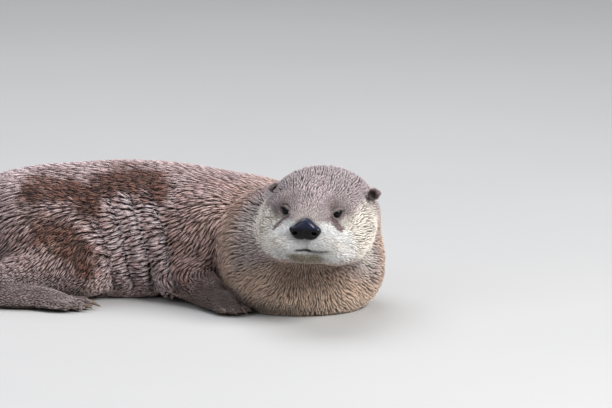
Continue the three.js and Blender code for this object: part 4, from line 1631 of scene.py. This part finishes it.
    def locks(self, rows: Array) -> tuple[Array, Array]:
        """Shapes a set of locks.

        Args:
            rows: the numbers of the locks.

        Returns:
            Eight points a lock and twelve triangles a lock.
        """
        rng = np.random.default_rng(self.seed + int(rows[0]))
        count = len(rows)
        root, way, size = self.root[rows], self.way[rows], self.size[rows]
        width, depth, dry = self.width[rows], self.depth[rows], self.dry[rows]
        astray = self.astray[rows]
        proud = mix(1.04, 0.62, astray) * rng.uniform(*self.proud_spread, count) + 0.2 * dry
        spine, up = [], []
        curl = rng.normal(0, self.curl, count) * size
        side = np.cross(way, self.normal[rows])
        far = smooth(9, 12, np.linalg.norm(FACE.from_ear(root), axis=1))
        for t, h in zip(self.along, self.rise):
            p = root + way * (size * t)[:, None] + side * (curl * t * t)[:, None]
            normal = unit(mix(self.normal[rows], self.skin.field.normal(p), far[:, None]))
            p = p + normal * ((1 - far) * t * (1.4 - t) * 0.9)[:, None]
            tall = depth * h * (proud if t > 0 else 1)
            lift = np.clip(tall - self.skin.field.at(p), -5, 5) * far
            p = p + normal * lift[:, None]
            p[:, 2] = np.maximum(p[:, 2], self.spine_floor)
            spine.append(p)
            up.append(normal)
        points = np.empty((count, 8, 3))
        points[:, 0], points[:, 7] = spine[0], spine[3]
        for k, wide in ((1, 1.0), (2, self.taper)):
            run = unit(spine[k + 1] - spine[k - 1])
            out = np.cross(run, up[k])
            half = out * (width * wide * 0.5)[:, None]
            thick = (self.thick * width * wide)[:, None]
            at = 3 * k - 2
            points[:, at] = spine[k] - half - up[k] * thick * 0.6
            points[:, at + 1] = spine[k] + up[k] * thick * 0.7
            points[:, at + 2] = spine[k] + half - up[k] * thick * 0.6
        points[:, :, 2] = np.maximum(points[:, :, 2], self.corner_floor)
        faces = np.array(self.triangles)[None] + 8 * np.arange(count)[:, None, None]
        return points.reshape(-1, 3), faces.reshape(-1, 3)

    def piece(self, name: str, slot: str, rows: Array) -> Piece:
        """Makes one coat piece of some of the locks, with its tones and maps.

        Args:
            name: the piece's name.
            slot: the slot name kept on the piece.
            rows: the numbers of the locks.

        Returns:
            The piece, ready to be made.
        """
        rng = np.random.default_rng(self.seed * 7 + int(rows[0]))
        points, faces = self.locks(rows)
        count = len(rows)
        tone = MARKINGS.tones(self.root[rows])
        clump = np.random.default_rng(5).normal(1, 0.12, len(self.root))[self.leader[rows]]
        clump = 1 + (clump - 1) * (1 + 1.3 * self.dry[rows])
        # Locks far from their clump's leader lie lower and are darkened as painted shade between the clumps;
        # the rest is each lock's and clump's own variation.
        own = rng.normal(1, 0.10, count) * clump * mix(1.10, 0.60, self.astray[rows])
        tone = tone * np.clip(own, 0.45, 1.6)[:, None]
        # Along the top of the back and tail the locks are lightened and their painted shading evened; on the
        # crown the painted shading is deepened. Pale tones get weaker painted shading.
        calm = MARKINGS.calm(self.root[rows]) - 1.1 * MARKINGS.crown(self.root[rows])
        tone = tone * (1 + 0.22 * np.maximum(calm, 0))[:, None]
        even = np.clip(1.0 - 0.75 * tone.mean(1), 0.4, 1.0) * (1 - 0.3 * calm)
        most = self.brightest / np.maximum(tone.max(1), 0.02)
        bright = np.minimum(np.array(self.shade)[None] ** even[:, None], most[:, None])
        colour = tone[:, None] * bright[:, :, None]
        # Painted sheen on the ridges and tips of wet locks, weaker on locks lying under a clump.
        painted_sheen = MARKINGS.painted_sheen(self.root[rows]) * mix(1.0, 0.45, self.astray[rows])
        sheen_share = painted_sheen[:, None] * np.array(self.pale)[None]
        colour = mix(colour, Tone.PAINTED_SHEEN.light, sheen_share[:, :, None])
        base = np.stack([self.across, self.run], axis=1)
        chance = rng.uniform(0, 40, (count, 1, 2)) * np.array([1, 0])
        strand = base[None] + chance
        bake = np.clip(self.patch[rows][:, None] + (base[None] - 0.5) * self.patch_width, 0, 1)
        flat = faces.reshape(-1)
        return Piece(
            name,
            points,
            faces,
            slot,
            colours={"tint": colour.reshape(-1, 3)},
            values={"dry": np.repeat(self.dry[rows], 8)},
            maps={"OFBake": bake.reshape(-1, 2)[flat], "Strand": strand.reshape(-1, 2)[flat]},
        )

    def regions(self) -> dict[str, tuple[str, Array]]:
        """Sorts the locks into pieces: the name of each, its slot and its locks.

        Returns:
            The slot and the numbers of the locks, by the piece's name.
        """
        x, y, _ = self.root.T
        q = HEAD.local(self.root)
        paws = BODY.paws(self.root)
        head = (q[:, 2] > -52) & (q[:, 1] < 18) & (np.abs(q[:, 0]) < 62)
        to_ear = np.linalg.norm(FACE.from_ear(self.root), axis=1) < 10
        order = (
            ("coat_paws", "paw_skin", paws < 3),
            ("coat_ears", "ear_skin", to_ear),
            ("coat_face_right", "face_coat", head & (q[:, 1] < -44) & (q[:, 0] < 0)),
            ("coat_face_left", "face_coat", head & (q[:, 1] < -44)),
            ("coat_crown", "face_coat", head),
            ("coat_throat_right", "throat_coat", (y < -64) & (x > 52) & (x < 104)),
            ("coat_throat_left", "throat_coat", (y < -40) & (x > 52)),
            ("coat_shoulder_right", "back_coat", (x > -6) & (y < 3)),
            ("coat_shoulder_left", "back_coat", x > -6),
            ("coat_loin_right", "flank_coat", (x > -104) & (y < 3)),
            ("coat_loin_left", "flank_coat", x > -104),
            ("coat_rump_right", "back_coat", (x > -236) & (y < 3)),
            ("coat_rump_left", "back_coat", x > -236),
            ("coat_tail", "back_coat", x > -1000),
        )
        free = np.ones(len(x), bool)
        out = {}
        for name, slot, test in order:
            rows = np.nonzero(test & free)[0]
            free &= ~test
            if len(rows):
                out[name] = (slot, rows)
        return out


# ---- hard parts


@dataclass
class Nose:
    """The bare nose pad: a rounded shield with a nostril each side."""

    at: Triple = (0.4, -94.5, -18.9)
    half_width: float = 15.4
    top: float = 10.3
    bulge: float = 7.4
    step: float = 0.55

    def local(self, p: Array) -> Array:
        """Turns points of the drawing into the pad's frame."""
        return HEAD.local(p) - np.array(self.at)

    def shield(self, p: Array) -> Array:
        """Distance in the face's plane to the pad's outline.

        Args:
            p: points in the drawing's frame.

        Returns:
            One distance a point.
        """
        x, y, z = self.local(p).T
        m = np.abs(x)
        upper = 0.66 * (m - self.half_width) + 0.75 * (z + 1.5)
        lower = 0.8 * (m - self.half_width) - 0.6 * (z + 2.5)
        flat = np.maximum(z - self.top, -self.top - z)
        sides = -blended(-upper, -lower, 3.5)
        return np.where(y < 14, -blended(-sides, -flat, 3.0), 20.0)

    def distance(self, p: Array) -> Array:
        """Distance to the pad.

        Args:
            p: points in the drawing's frame.

        Returns:
            One distance a point.
        """
        q = self.local(p)
        x, y, z = q.T
        m = np.abs(x)
        dome = ellipsoid(q - (0, 0.6, -2), (19, self.bulge + 0.6, 15))
        d = -blended(-self.shield(p), -dome, 4.0)
        d = np.maximum(d, y - 5)
        pit = ellipsoid(np.stack([m - 8.6, y + 5.0, z + 3.6], 1), (1.8, 3.8, 1.35))
        slit = rod(np.stack([m, y, z], 1), (9.4, -5.0, -3.6, 0.8), (15.5, -1.2, -5.0, 0.6))
        d = -blended(-d, blended(pit, slit, 1.2), 0.9)
        wing = ellipsoid(np.stack([m - 11.2, y + 3.4, z + 0.6], 1), (3.4, 2.6, 2.2))
        d = -blended(-blended(d, wing, 2.2), blended(pit, slit, 1.2), 0.7)
        return d + 0.8 * np.exp(-((x / 0.7) ** 2)) * smooth(1, -3, z)

    def build(self, finish: bpy.types.Material) -> bpy.types.Object:
        """Makes the pad's object.

        Args:
            finish: the pad's material.

        Returns:
            The nose pad, in place of its node.
        """
        centre = HEAD.out(np.array(self.at))
        grid = Field(centre - (22, 14, 15), centre + (22, 12, 16), self.step)
        p, shape = grid.points(np.zeros(3, int), grid.count - 1)
        grid.value[:] = self.distance(p.reshape(-1, 3)).reshape(shape)
        points, quads = surface_net(grid.value.astype(float), grid.low, self.step)
        tris = np.concatenate([quads[:, [0, 1, 2]], quads[:, [0, 2, 3]]])
        points = settled(points, tris, self.distance, np.ones(len(points), bool), 3, 0.3)
        _, front, up = self.local(points).T
        # The upper plane of the pad gets a bluish painted sky reflection; the lower front stays black.
        plane = smooth(-4.5, 1.0, up + 0.35 * front)
        tint = mix(Tone.NOSE_FRONT.light[None], Tone.NOSE_TOP_SHEEN.light[None], plane[:, None])
        made = Piece("nose_pad_wet", points, tris, "nose_skin", colours={"tint": tint}).made(finish)
        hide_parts("nose_pad")
        return made


NOSE = Nose()


@dataclass
class Eye:
    """A dark eye with a raised cornea, deep between the lids."""

    side: int
    rings: int = 36
    spokes: int = 48
    cornea: float = 0.05

    def build(self, finish: bpy.types.Material) -> bpy.types.Object:
        """Makes the eyeball's object, with how squarely each point faces along the gaze.

        Args:
            finish: the eye's material.

        Returns:
            The eye, in place of its node.
        """
        name = "left" if self.side > 0 else "right"
        gaze = FACE.forward * np.array([self.side, 1, 1])
        across = unit(np.cross(gaze, np.array([0, 0, 1.0])))
        upward = np.cross(across, gaze)
        polar = np.linspace(0, math.pi, self.rings + 1)[1:-1]
        turn = np.arange(self.spokes) / self.spokes * 2 * math.pi
        ring = np.cos(turn)[:, None] * across + np.sin(turn)[:, None] * upward
        rows = [gaze[None]]
        for a in polar:
            rows.append(math.cos(a) * gaze + math.sin(a) * ring)
        rows.append(-gaze[None])
        way = np.concatenate(rows)
        facing = way @ gaze
        size = HEAD.eye_radius * (1 + self.cornea * smooth(0.72, 0.98, facing))
        points = HEAD.eye_at(self.side) + way * size[:, None] @ HEAD.turn.T
        faces = []
        for k in range(self.spokes):
            n = (k + 1) % self.spokes
            faces.append((0, 1 + k, 1 + n))
            for r in range(len(polar) - 1):
                a, b = 1 + r * self.spokes, 1 + (r + 1) * self.spokes
                faces += [(a + k, b + k, b + n), (a + k, b + n, a + n)]
            last = 1 + (len(polar) - 1) * self.spokes
            faces.append((last + k, len(points) - 1, last + n))
        tris = np.array(faces)
        p = points[tris]
        middle = HEAD.eye_at(self.side)
        outward = (np.cross(p[:, 1] - p[:, 0], p[:, 2] - p[:, 0]) * (p.mean(1) - middle)).sum(1)
        if outward.mean() < 0:
            tris = tris[:, ::-1]
        made = Piece(f"eyeball_{name}", points, tris, "eye_surface", values={"facing": facing}).made(finish)
        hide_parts(f"eye_{name}")
        return made


def tube(spine: Array, radius: Array, sides: int, flat: float = 1.0) -> tuple[Array, Array]:
    """Draws a closed tapering tube round a spine.

    Args:
        spine: points along the middle.
        radius: the tube's radius at each.
        sides: how many faces go round it.
        flat: its width against its height.

    Returns:
        Vertices and triangles.
    """
    run = unit(np.gradient(spine, axis=0))
    side = unit(np.cross(run, np.array([0, 0, 1.0])) + np.array([1e-6, 0, 0]))
    up = np.cross(side, run)
    turn = np.arange(sides) / sides * 2 * math.pi
    ring = side[:, None] * (flat * np.cos(turn))[None, :, None] + up[:, None] * np.sin(turn)[None, :, None]
    points = (spine[:, None] + ring * radius[:, None, None]).reshape(-1, 3)
    points = np.concatenate([spine[:1], points, spine[-1:]])
    faces = []
    last = len(points) - 1
    for k in range(sides):
        n = (k + 1) % sides
        faces.append((0, 1 + n, 1 + k))
        for r in range(len(spine) - 1):
            a, b = 1 + r * sides, 1 + (r + 1) * sides
            faces += [(a + k, a + n, b + n), (a + k, b + n, b + k)]
        end = 1 + (len(spine) - 1) * sides
        faces.append((end + k, end + n, last))
    return points, np.array(faces)


def joined(parts: list[tuple[Array, Array]]) -> tuple[Array, Array]:
    """Joins several sets of vertices and triangles into one.

    Args:
        parts: the vertices and faces of each.

    Returns:
        All the vertices and all the faces.
    """
    points, faces, start = [], [], 0
    for p, f in parts:
        points.append(p)
        faces.append(f + start)
        start += len(p)
    return np.concatenate(points), np.concatenate(faces)


@dataclass
class Claws:
    """The small curved claws, one on each toe."""

    thick: float = 1.75
    rings: int = 9
    sides: int = 8

    def build(self, finish: bpy.types.Material) -> bpy.types.Object:
        """Makes all the claws as one object.

        Args:
            finish: the horn's material.

        Returns:
            The claws.
        """
        parts = []
        t = np.linspace(0, 1, self.rings)
        for paw in PAWS:
            for root, tip in paw.foot.toes():
                way = unit(np.array([tip[0] - root[0], tip[1] - root[1]]))
                reach = paw.foot.claw + 3.5
                start = np.array([tip[0], tip[1]]) + way * 1.0
                flat = start + way[None] * (t * reach)[:, None]
                height = tip[2] + 1.6 - 3.6 * t**1.8
                spine = np.column_stack([flat, height])
                radius = self.thick * (1 - t**1.6) ** 0.7 + 0.12
                points, faces = tube(spine, radius, self.sides, 0.72)
                parts.append((paw.out(points), faces))
        points, faces = joined(parts)
        return Piece("claws", points, faces, "paw_skin").made(finish)


@dataclass
class Whiskers:
    """Stiff pale whiskers in rows on the lips, with a few over the eyes."""

    rows: int = 4
    columns: int = 6
    thick: float = 0.20
    seed: int = 23

    def build(self, finish: bpy.types.Material) -> bpy.types.Object:
        """Makes all the whiskers as one object.

        Args:
            finish: the hair's material.

        Returns:
            The whiskers.
        """
        rng = np.random.default_rng(self.seed)
        parts = []
        t = np.linspace(0, 1, 9)[:, None]
        for side in (1, -1):
            for i in range(self.rows):
                for j in range(self.columns):
                    m = 15.5 + 3.4 * j + rng.uniform(-0.7, 0.7)
                    z = -27.5 - 3.3 * i + 0.35 * j + rng.uniform(-0.5, 0.5)
                    y = -100 + 0.030 * (m - 8) ** 2
                    root = self.on_skin(np.array([side * m, y, z]))
                    reach = 15 + 3.6 * j + rng.uniform(-3, 4)
                    out = np.array([side * (0.72 + 0.05 * j), -0.52 + 0.09 * j, -0.10 - 0.10 * i])
                    bend = np.array([side * 0.12, 0.42, -0.34 + rng.uniform(-0.12, 0.12)])
                    spine = root + reach * (out * t + bend * t * t)
                    parts.append(tube(HEAD.out(spine), self.thick * (1.05 - t[:, 0]), 4))
            for k in range(3):
                root = self.on_skin(np.array([side * (19 + 3.5 * k), -62, 2.0 + 0.8 * k]))
                out = np.array([side * (0.25 + 0.1 * k), -0.55, 0.75])
                bend = np.array([side * 0.15, 0.25, -0.25])
                spine = root + 11 * (out * t + bend * t * t)
                parts.append(tube(HEAD.out(spine), self.thick * 0.7 * (1.05 - t[:, 0]), 4))
        points, faces = joined(parts)
        return Piece("whiskers", points, faces, "face_coat").made(finish)

    @staticmethod
    def on_skin(q: Array) -> Array:
        """Draws a point of the head's frame along y onto the outline, then a little under it.

        Args:
            q: the point.

        Returns:
            The whisker's root in the head's frame.
        """
        for _ in range(12):
            d = BODY.outline(HEAD.out(q[None]))[0]
            q = q + np.array([0, d * 0.8, 0])
        return q + np.array([0, 1.6, 0])


# ---- finishes


class Nodes:
    """A material under way: makes its nodes and links them."""

    def __init__(self, name: str) -> None:
        """Starts a material with its shader and output.

        Args:
            name: the material's name.
        """
        self.material = bpy.data.materials.new(name)
        self.material.use_nodes = True
        self.tree = self.material.node_tree
        self.shader = self.tree.nodes["Principled BSDF"]

    def add(
        self, kind: str, links: dict[str | int, bpy.types.NodeSocket], **settings: str | float | tuple
    ) -> bpy.types.Node:
        """Adds a node.

        Args:
            kind: the node's type.
            links: the sockets that feed its inputs.
            **settings: its properties, or inputs where the name starts with in_.

        Returns:
            The node.
        """
        node = self.tree.nodes.new(kind)
        for key, value in settings.items():
            if key.startswith("in_"):
                node.inputs[key[3:].replace("_", " ")].default_value = value
            else:
                setattr(node, key, value)
        for key, source in links.items():
            self.tree.links.new(source, node.inputs[key])
        return node

    def attribute(self, name: str, socket: str = "Color") -> bpy.types.NodeSocket:
        """Reads one of the mesh's own attributes."""
        return self.add("ShaderNodeAttribute", {}, attribute_name=name).outputs[socket]

    def place(self) -> bpy.types.NodeSocket:
        """Gives the place on the piece."""
        return self.add("ShaderNodeTexCoord", {}).outputs["Object"]

    def noise(
        self, place: bpy.types.NodeSocket, scale: float, detail: float, roughness: float = 0.5
    ) -> bpy.types.NodeSocket:
        """Adds soft noise, read at a place, with finer layers of a given strength."""
        values = {"in_Scale": scale, "in_Detail": detail, "in_Roughness": roughness}
        return self.add("ShaderNodeTexNoise", {"Vector": place}, **values).outputs["Fac"]

    def graded(
        self, source: bpy.types.NodeSocket, tones: tuple[tuple[int, int, int], ...], ends: tuple[float, float]
    ) -> bpy.types.NodeSocket:
        """Grades a value between two tones.

        Args:
            source: the value.
            tones: the first and the last tone, as sRGB of 0 to 255.
            ends: where each of them is reached.

        Returns:
            The colour.
        """
        ramp = self.add("ShaderNodeValToRGB", {"Fac": source})
        for stop, tone, end in zip(ramp.color_ramp.elements, tones, ends):
            stop.position, stop.color = end, (*linear(*tone), 1)
        return ramp.outputs["Color"]

    def feed(self, socket: str, source: bpy.types.NodeSocket) -> None:
        """Links a socket to one of the shader's inputs."""
        self.tree.links.new(source, self.shader.inputs[socket])

    def fix(self, **values: float) -> None:
        """Sets plain values on the shader's own sockets."""
        for key, value in values.items():
            self.shader.inputs[key.replace("_", " ")].default_value = value

    def between(self, source: bpy.types.NodeSocket, low: float, high: float) -> bpy.types.NodeSocket:
        """Spreads a value of 0 to 1 between two others."""
        node = self.add("ShaderNodeMapRange", {"Value": source}, in_To_Min=low, in_To_Max=high)
        return node.outputs["Result"]

    def scaled(self, colour: bpy.types.NodeSocket, by: bpy.types.NodeSocket) -> bpy.types.NodeSocket:
        """Multiplies a colour by a value."""
        node = self.add("ShaderNodeVectorMath", {0: colour, "Scale": by}, operation="SCALE")
        return node.outputs["Vector"]

    def bump(self, height: bpy.types.NodeSocket, strength: float, distance: float) -> None:
        """Gives the shader a bump."""
        node = self.add("ShaderNodeBump", {"Height": height}, in_Strength=strength, in_Distance=distance)
        self.feed("Normal", node.outputs["Normal"])


@dataclass(frozen=True)
class HairFinish:
    """Hair: strands drawn along each lock, glossier where it is wet."""

    name: str
    wet_roughness: float
    dry_roughness: float
    gloss: float
    sheen: float
    strand_scale: Triple = (7.0, 0.8, 1.0)
    contrast: tuple[float, float] = (0.25, 1.75)
    relief: tuple[float, float] = (0.5, 0.0004)
    sheen_tone: tuple[float, float, float, float] = (0.86, 0.86, 0.95, 1.0)

    def made(self) -> bpy.types.Material:
        """Makes the material.

        Returns:
            The material.
        """
        n = Nodes(self.name)
        strand = n.add("ShaderNodeUVMap", {}, uv_map="Strand").outputs["UV"]
        longways = n.add("ShaderNodeMapping", {"Vector": strand}, in_Scale=self.strand_scale)
        hairs = n.noise(longways.outputs["Vector"], 1.0, 3.0, 0.6)
        n.feed("Base Color", n.scaled(n.attribute("tint"), n.between(hairs, *self.contrast)))
        dry = n.attribute("dry", "Fac")
        n.feed("Roughness", n.between(dry, self.wet_roughness, self.dry_roughness))
        n.bump(hairs, *self.relief)
        n.fix(Specular_IOR_Level=self.gloss, Sheen_Weight=self.sheen, Sheen_Roughness=0.4)
        n.shader.inputs["Sheen Tint"].default_value = self.sheen_tone
        return n.material


@dataclass(frozen=True)
class SkinFinish:
    """Skin under the coat: the same markings darkened as painted shade deep in the coat, with short flat hair
    as bump.
    """

    name: str = "skin_under_coat"
    hair_scale: float = 900.0
    pore_scale: float = 1400.0
    # How dark the skin is laid against the coat's tones: painted shade between the locks.
    contrast: tuple[float, float] = (0.25, 0.62)
    roughness: tuple[float, float] = (0.62, 0.38)
    relief: tuple[float, float] = (0.35, 0.0005)

    def made(self) -> bpy.types.Material:
        """Makes the material.

        Returns:
            The material.
        """
        n = Nodes(self.name)
        place = n.place()
        hairs = n.noise(place, self.hair_scale, 4.0, 0.65)
        pores = n.add("ShaderNodeTexVoronoi", {"Vector": place}, in_Scale=self.pore_scale)
        n.feed("Base Color", n.scaled(n.attribute("tint"), n.between(hairs, *self.contrast)))
        n.feed("Roughness", n.between(hairs, *self.roughness))
        both = n.add("ShaderNodeMath", {0: hairs, 1: pores.outputs["Distance"]}, operation="ADD")
        n.bump(both.outputs["Value"], *self.relief)
        n.fix(Specular_IOR_Level=0.4)
        return n.material


@dataclass(frozen=True)
class EyeFinish:
    """A wet dark eye: black pupil, deep brown iris, dark white."""

    name: str = "eye_wet"
    white: tuple[int, int, int] = (20, 15, 13)
    white_to: float = 0.62
    pupil: tuple[float, float, float, float] = (0.001, 0.001, 0.001, 1)
    pupil_from: float = 0.965
    rings: tuple[tuple[float, tuple[int, int, int]], ...] = (
        (0.70, (10, 7, 6)), (0.74, (30, 19, 13)), (0.88, (24, 15, 11)), (0.92, (3, 2, 2)),
    )  # fmt: skip
    fleck_scale: float = 1500.0
    fleck_share: float = 0.03
    roughness: tuple[float, float] = (0.03, 0.07)

    def made(self) -> bpy.types.Material:
        """Makes the material.

        Returns:
            The material.
        """
        n = Nodes(self.name)
        flecks = n.noise(n.place(), self.fleck_scale, 3.0)
        facing = n.attribute("facing", "Fac")
        shifted = n.add("ShaderNodeMath", {0: flecks, 2: facing}, operation="MULTIPLY_ADD")
        shifted.inputs[1].default_value = self.fleck_share
        ramp = n.add("ShaderNodeValToRGB", {"Fac": shifted.outputs["Value"]})
        stops = ramp.color_ramp.elements
        stops[0].position, stops[0].color = self.white_to, (*linear(*self.white), 1)
        stops[1].position, stops[1].color = self.pupil_from, self.pupil
        for at, tone in self.rings:
            stop = stops.new(at)
            stop.color = (*linear(*tone), 1)
        n.feed("Base Color", ramp.outputs["Color"])
        n.feed("Roughness", n.between(flecks, *self.roughness))
        n.fix(Specular_IOR_Level=0.20)
        return n.material


@dataclass(frozen=True)
class NoseFinish:
    """The nose pad's pebbled, wet, near-black skin."""

    name: str = "nose_leather"
    pebble_scale: float = 1700.0
    cloud_scale: float = 260.0
    contrast: tuple[float, float] = (0.6, 1.4)
    roughness: tuple[float, float] = (0.16, 0.28)
    relief: tuple[float, float] = (0.25, 0.0002)

    def made(self) -> bpy.types.Material:
        """Makes the material.

        Returns:
            The material.
        """
        n = Nodes(self.name)
        place = n.place()
        pebbles = n.add("ShaderNodeTexVoronoi", {"Vector": place}, in_Scale=self.pebble_scale)
        cloud = n.noise(place, self.cloud_scale, 3.0)
        n.feed("Base Color", n.scaled(n.attribute("tint"), n.between(cloud, *self.contrast)))
        n.feed("Roughness", n.between(cloud, *self.roughness))
        n.bump(pebbles.outputs["Distance"], *self.relief)
        n.fix(Specular_IOR_Level=0.22)
        return n.material


@dataclass(frozen=True)
class HornFinish:
    """Claw horn or a whisker: two tones with fine streaks."""

    name: str
    dark: tuple[int, int, int]
    pale: tuple[int, int, int]
    roughness: float
    streak_scale: float = 420.0
    relief: tuple[float, float] = (0.2, 0.0002)

    def made(self) -> bpy.types.Material:
        """Makes the material.

        Returns:
            The material.
        """
        n = Nodes(self.name)
        streaks = n.noise(n.place(), self.streak_scale, 4.0)
        n.feed("Base Color", n.graded(streaks, (self.dark, self.pale), (0.35, 0.65)))
        n.feed("Roughness", n.between(streaks, self.roughness, self.roughness + 0.15))
        n.bump(streaks, *self.relief)
        return n.material


@dataclass(frozen=True)
class FloorFinish:
    """A plain pale floor with the faintest mottling."""

    name: str = "pale_floor"
    tones: tuple[tuple[int, int, int], ...] = ((166, 166, 165), (173, 172, 171))
    roughness: float = 0.7

    def made(self) -> bpy.types.Material:
        """Makes the material.

        Returns:
            The material.
        """
        n = Nodes(self.name)
        cloud = n.noise(n.place(), 3.0, 5.0)
        n.feed("Base Color", n.graded(cloud, self.tones, (0.0, 1.0)))
        n.fix(Roughness=self.roughness)
        return n.material


# ---- stage


@dataclass(frozen=True)
class Lamp:
    """One soft square light."""

    name: str
    at: Triple
    size: float
    power: float
    tone: Triple

    def hang(self, lit: Triple) -> None:
        """Hangs the lamp, turned to face a point.

        Args:
            lit: the point.
        """
        lamp = bpy.data.lights.new(self.name, "AREA")
        lamp.size, lamp.energy, lamp.color = self.size, self.power, self.tone
        made = bpy.data.objects.new(self.name, lamp)
        made.location = self.at
        made.rotation_euler = (Vector(lit) - Vector(self.at)).to_track_quat("-Z", "Y").to_euler()
        bpy.context.scene.collection.objects.link(made)


@dataclass(frozen=True)
class Studio:
    """The floor, the soft lights and the camera."""

    target: Triple = (0.314217, -0.054696, 0.1006)
    distance: float = 4.8
    elevation: float = 10.0
    lens: float = 297.2
    floor_side: float = 40.0
    lit: Triple = (0.1, 0, 0.06)
    lamps: tuple[Lamp, ...] = (
        Lamp("key", (2.2, -1.6, 1.95), 1.5, 165.0, (1.0, 0.99, 0.98)),
        Lamp("fill", (-1.7, -1.9, 2.0), 2.0, 26.0, (0.96, 0.97, 1.0)),
        Lamp("sky", (-0.3, 1.0, 2.6), 2.4, 74.0, (0.92, 0.94, 1.0)),
    )
    surroundings: tuple[float, float, float, float] = (0.86, 0.89, 0.93, 1)
    glow: float = 0.28
    sensor: float = 36.0
    farthest: float = 100.0

    def floor(self) -> None:
        """Makes the pale floor."""
        half = self.floor_side / 2
        mesh = bpy.data.meshes.new("floor")
        mesh.from_pydata(
            [(-half, -half, 0), (half, -half, 0), (half, half, 0), (-half, half, 0)], [], [(0, 1, 2, 3)]
        )
        made = bpy.data.objects.new("floor", mesh)
        bpy.context.scene.collection.objects.link(made)
        mesh.materials.append(FloorFinish().made())

    def lights(self) -> None:
        """Hangs the lights and sets the pale surroundings."""
        for lamp in self.lamps:
            lamp.hang(self.lit)
        world = bpy.data.worlds.new("studio")
        world.use_nodes = True
        shade = world.node_tree.nodes["Background"]
        shade.inputs["Color"].default_value = self.surroundings
        shade.inputs["Strength"].default_value = self.glow
        bpy.context.scene.world = world
        bpy.context.scene.view_settings.view_transform = "Standard"

    def camera(self) -> None:
        """Sets the camera up."""
        data = bpy.data.cameras.new("camera")
        data.lens, data.sensor_width, data.sensor_fit = self.lens, self.sensor, "HORIZONTAL"
        data.clip_end = self.farthest
        made = bpy.data.objects.new("camera", data)
        a = math.radians(self.elevation)
        aim = Vector(self.target)
        made.location = aim + Vector((0, -math.cos(a), math.sin(a))) * self.distance
        made.rotation_euler = (math.pi / 2 - a, 0, 0)
        bpy.context.scene.collection.objects.link(made)
        bpy.context.scene.camera = made


def main() -> None:
    """Builds the otter and its stage, piece by piece."""
    logging.basicConfig(level=logging.INFO, format="%(name)s %(relativeCreated)6d ms  %(message)s")
    studio = Studio()
    studio.floor()
    studio.lights()
    studio.camera()
    skin = Skin()
    skin.build()
    skin.dress(SkinFinish().made())
    wet = HairFinish("wet_coat", 0.34, 0.62, 0.6, 0.08).made()
    short = HairFinish("face_hair", 0.50, 0.62, 0.4, 0.1).made()
    coat = Coat(skin)
    coat.grown()
    coat.combed()
    for name, (slot, rows) in coat.regions().items():
        soft = slot in ("face_coat", "ear_skin", "paw_skin")
        coat.piece(name, slot, rows).made(short if soft else wet)
    dark = EyeFinish().made()
    for side in (1, -1):
        Eye(side).build(dark)
    NOSE.build(NoseFinish().made())
    Claws().build(HornFinish("claw_horn", (58, 46, 38), (104, 88, 72), 0.32).made())
    Whiskers().build(HornFinish("whisker_hair", (150, 136, 118), (226, 218, 204), 0.35).made())


if __name__ == "__main__":
    main()
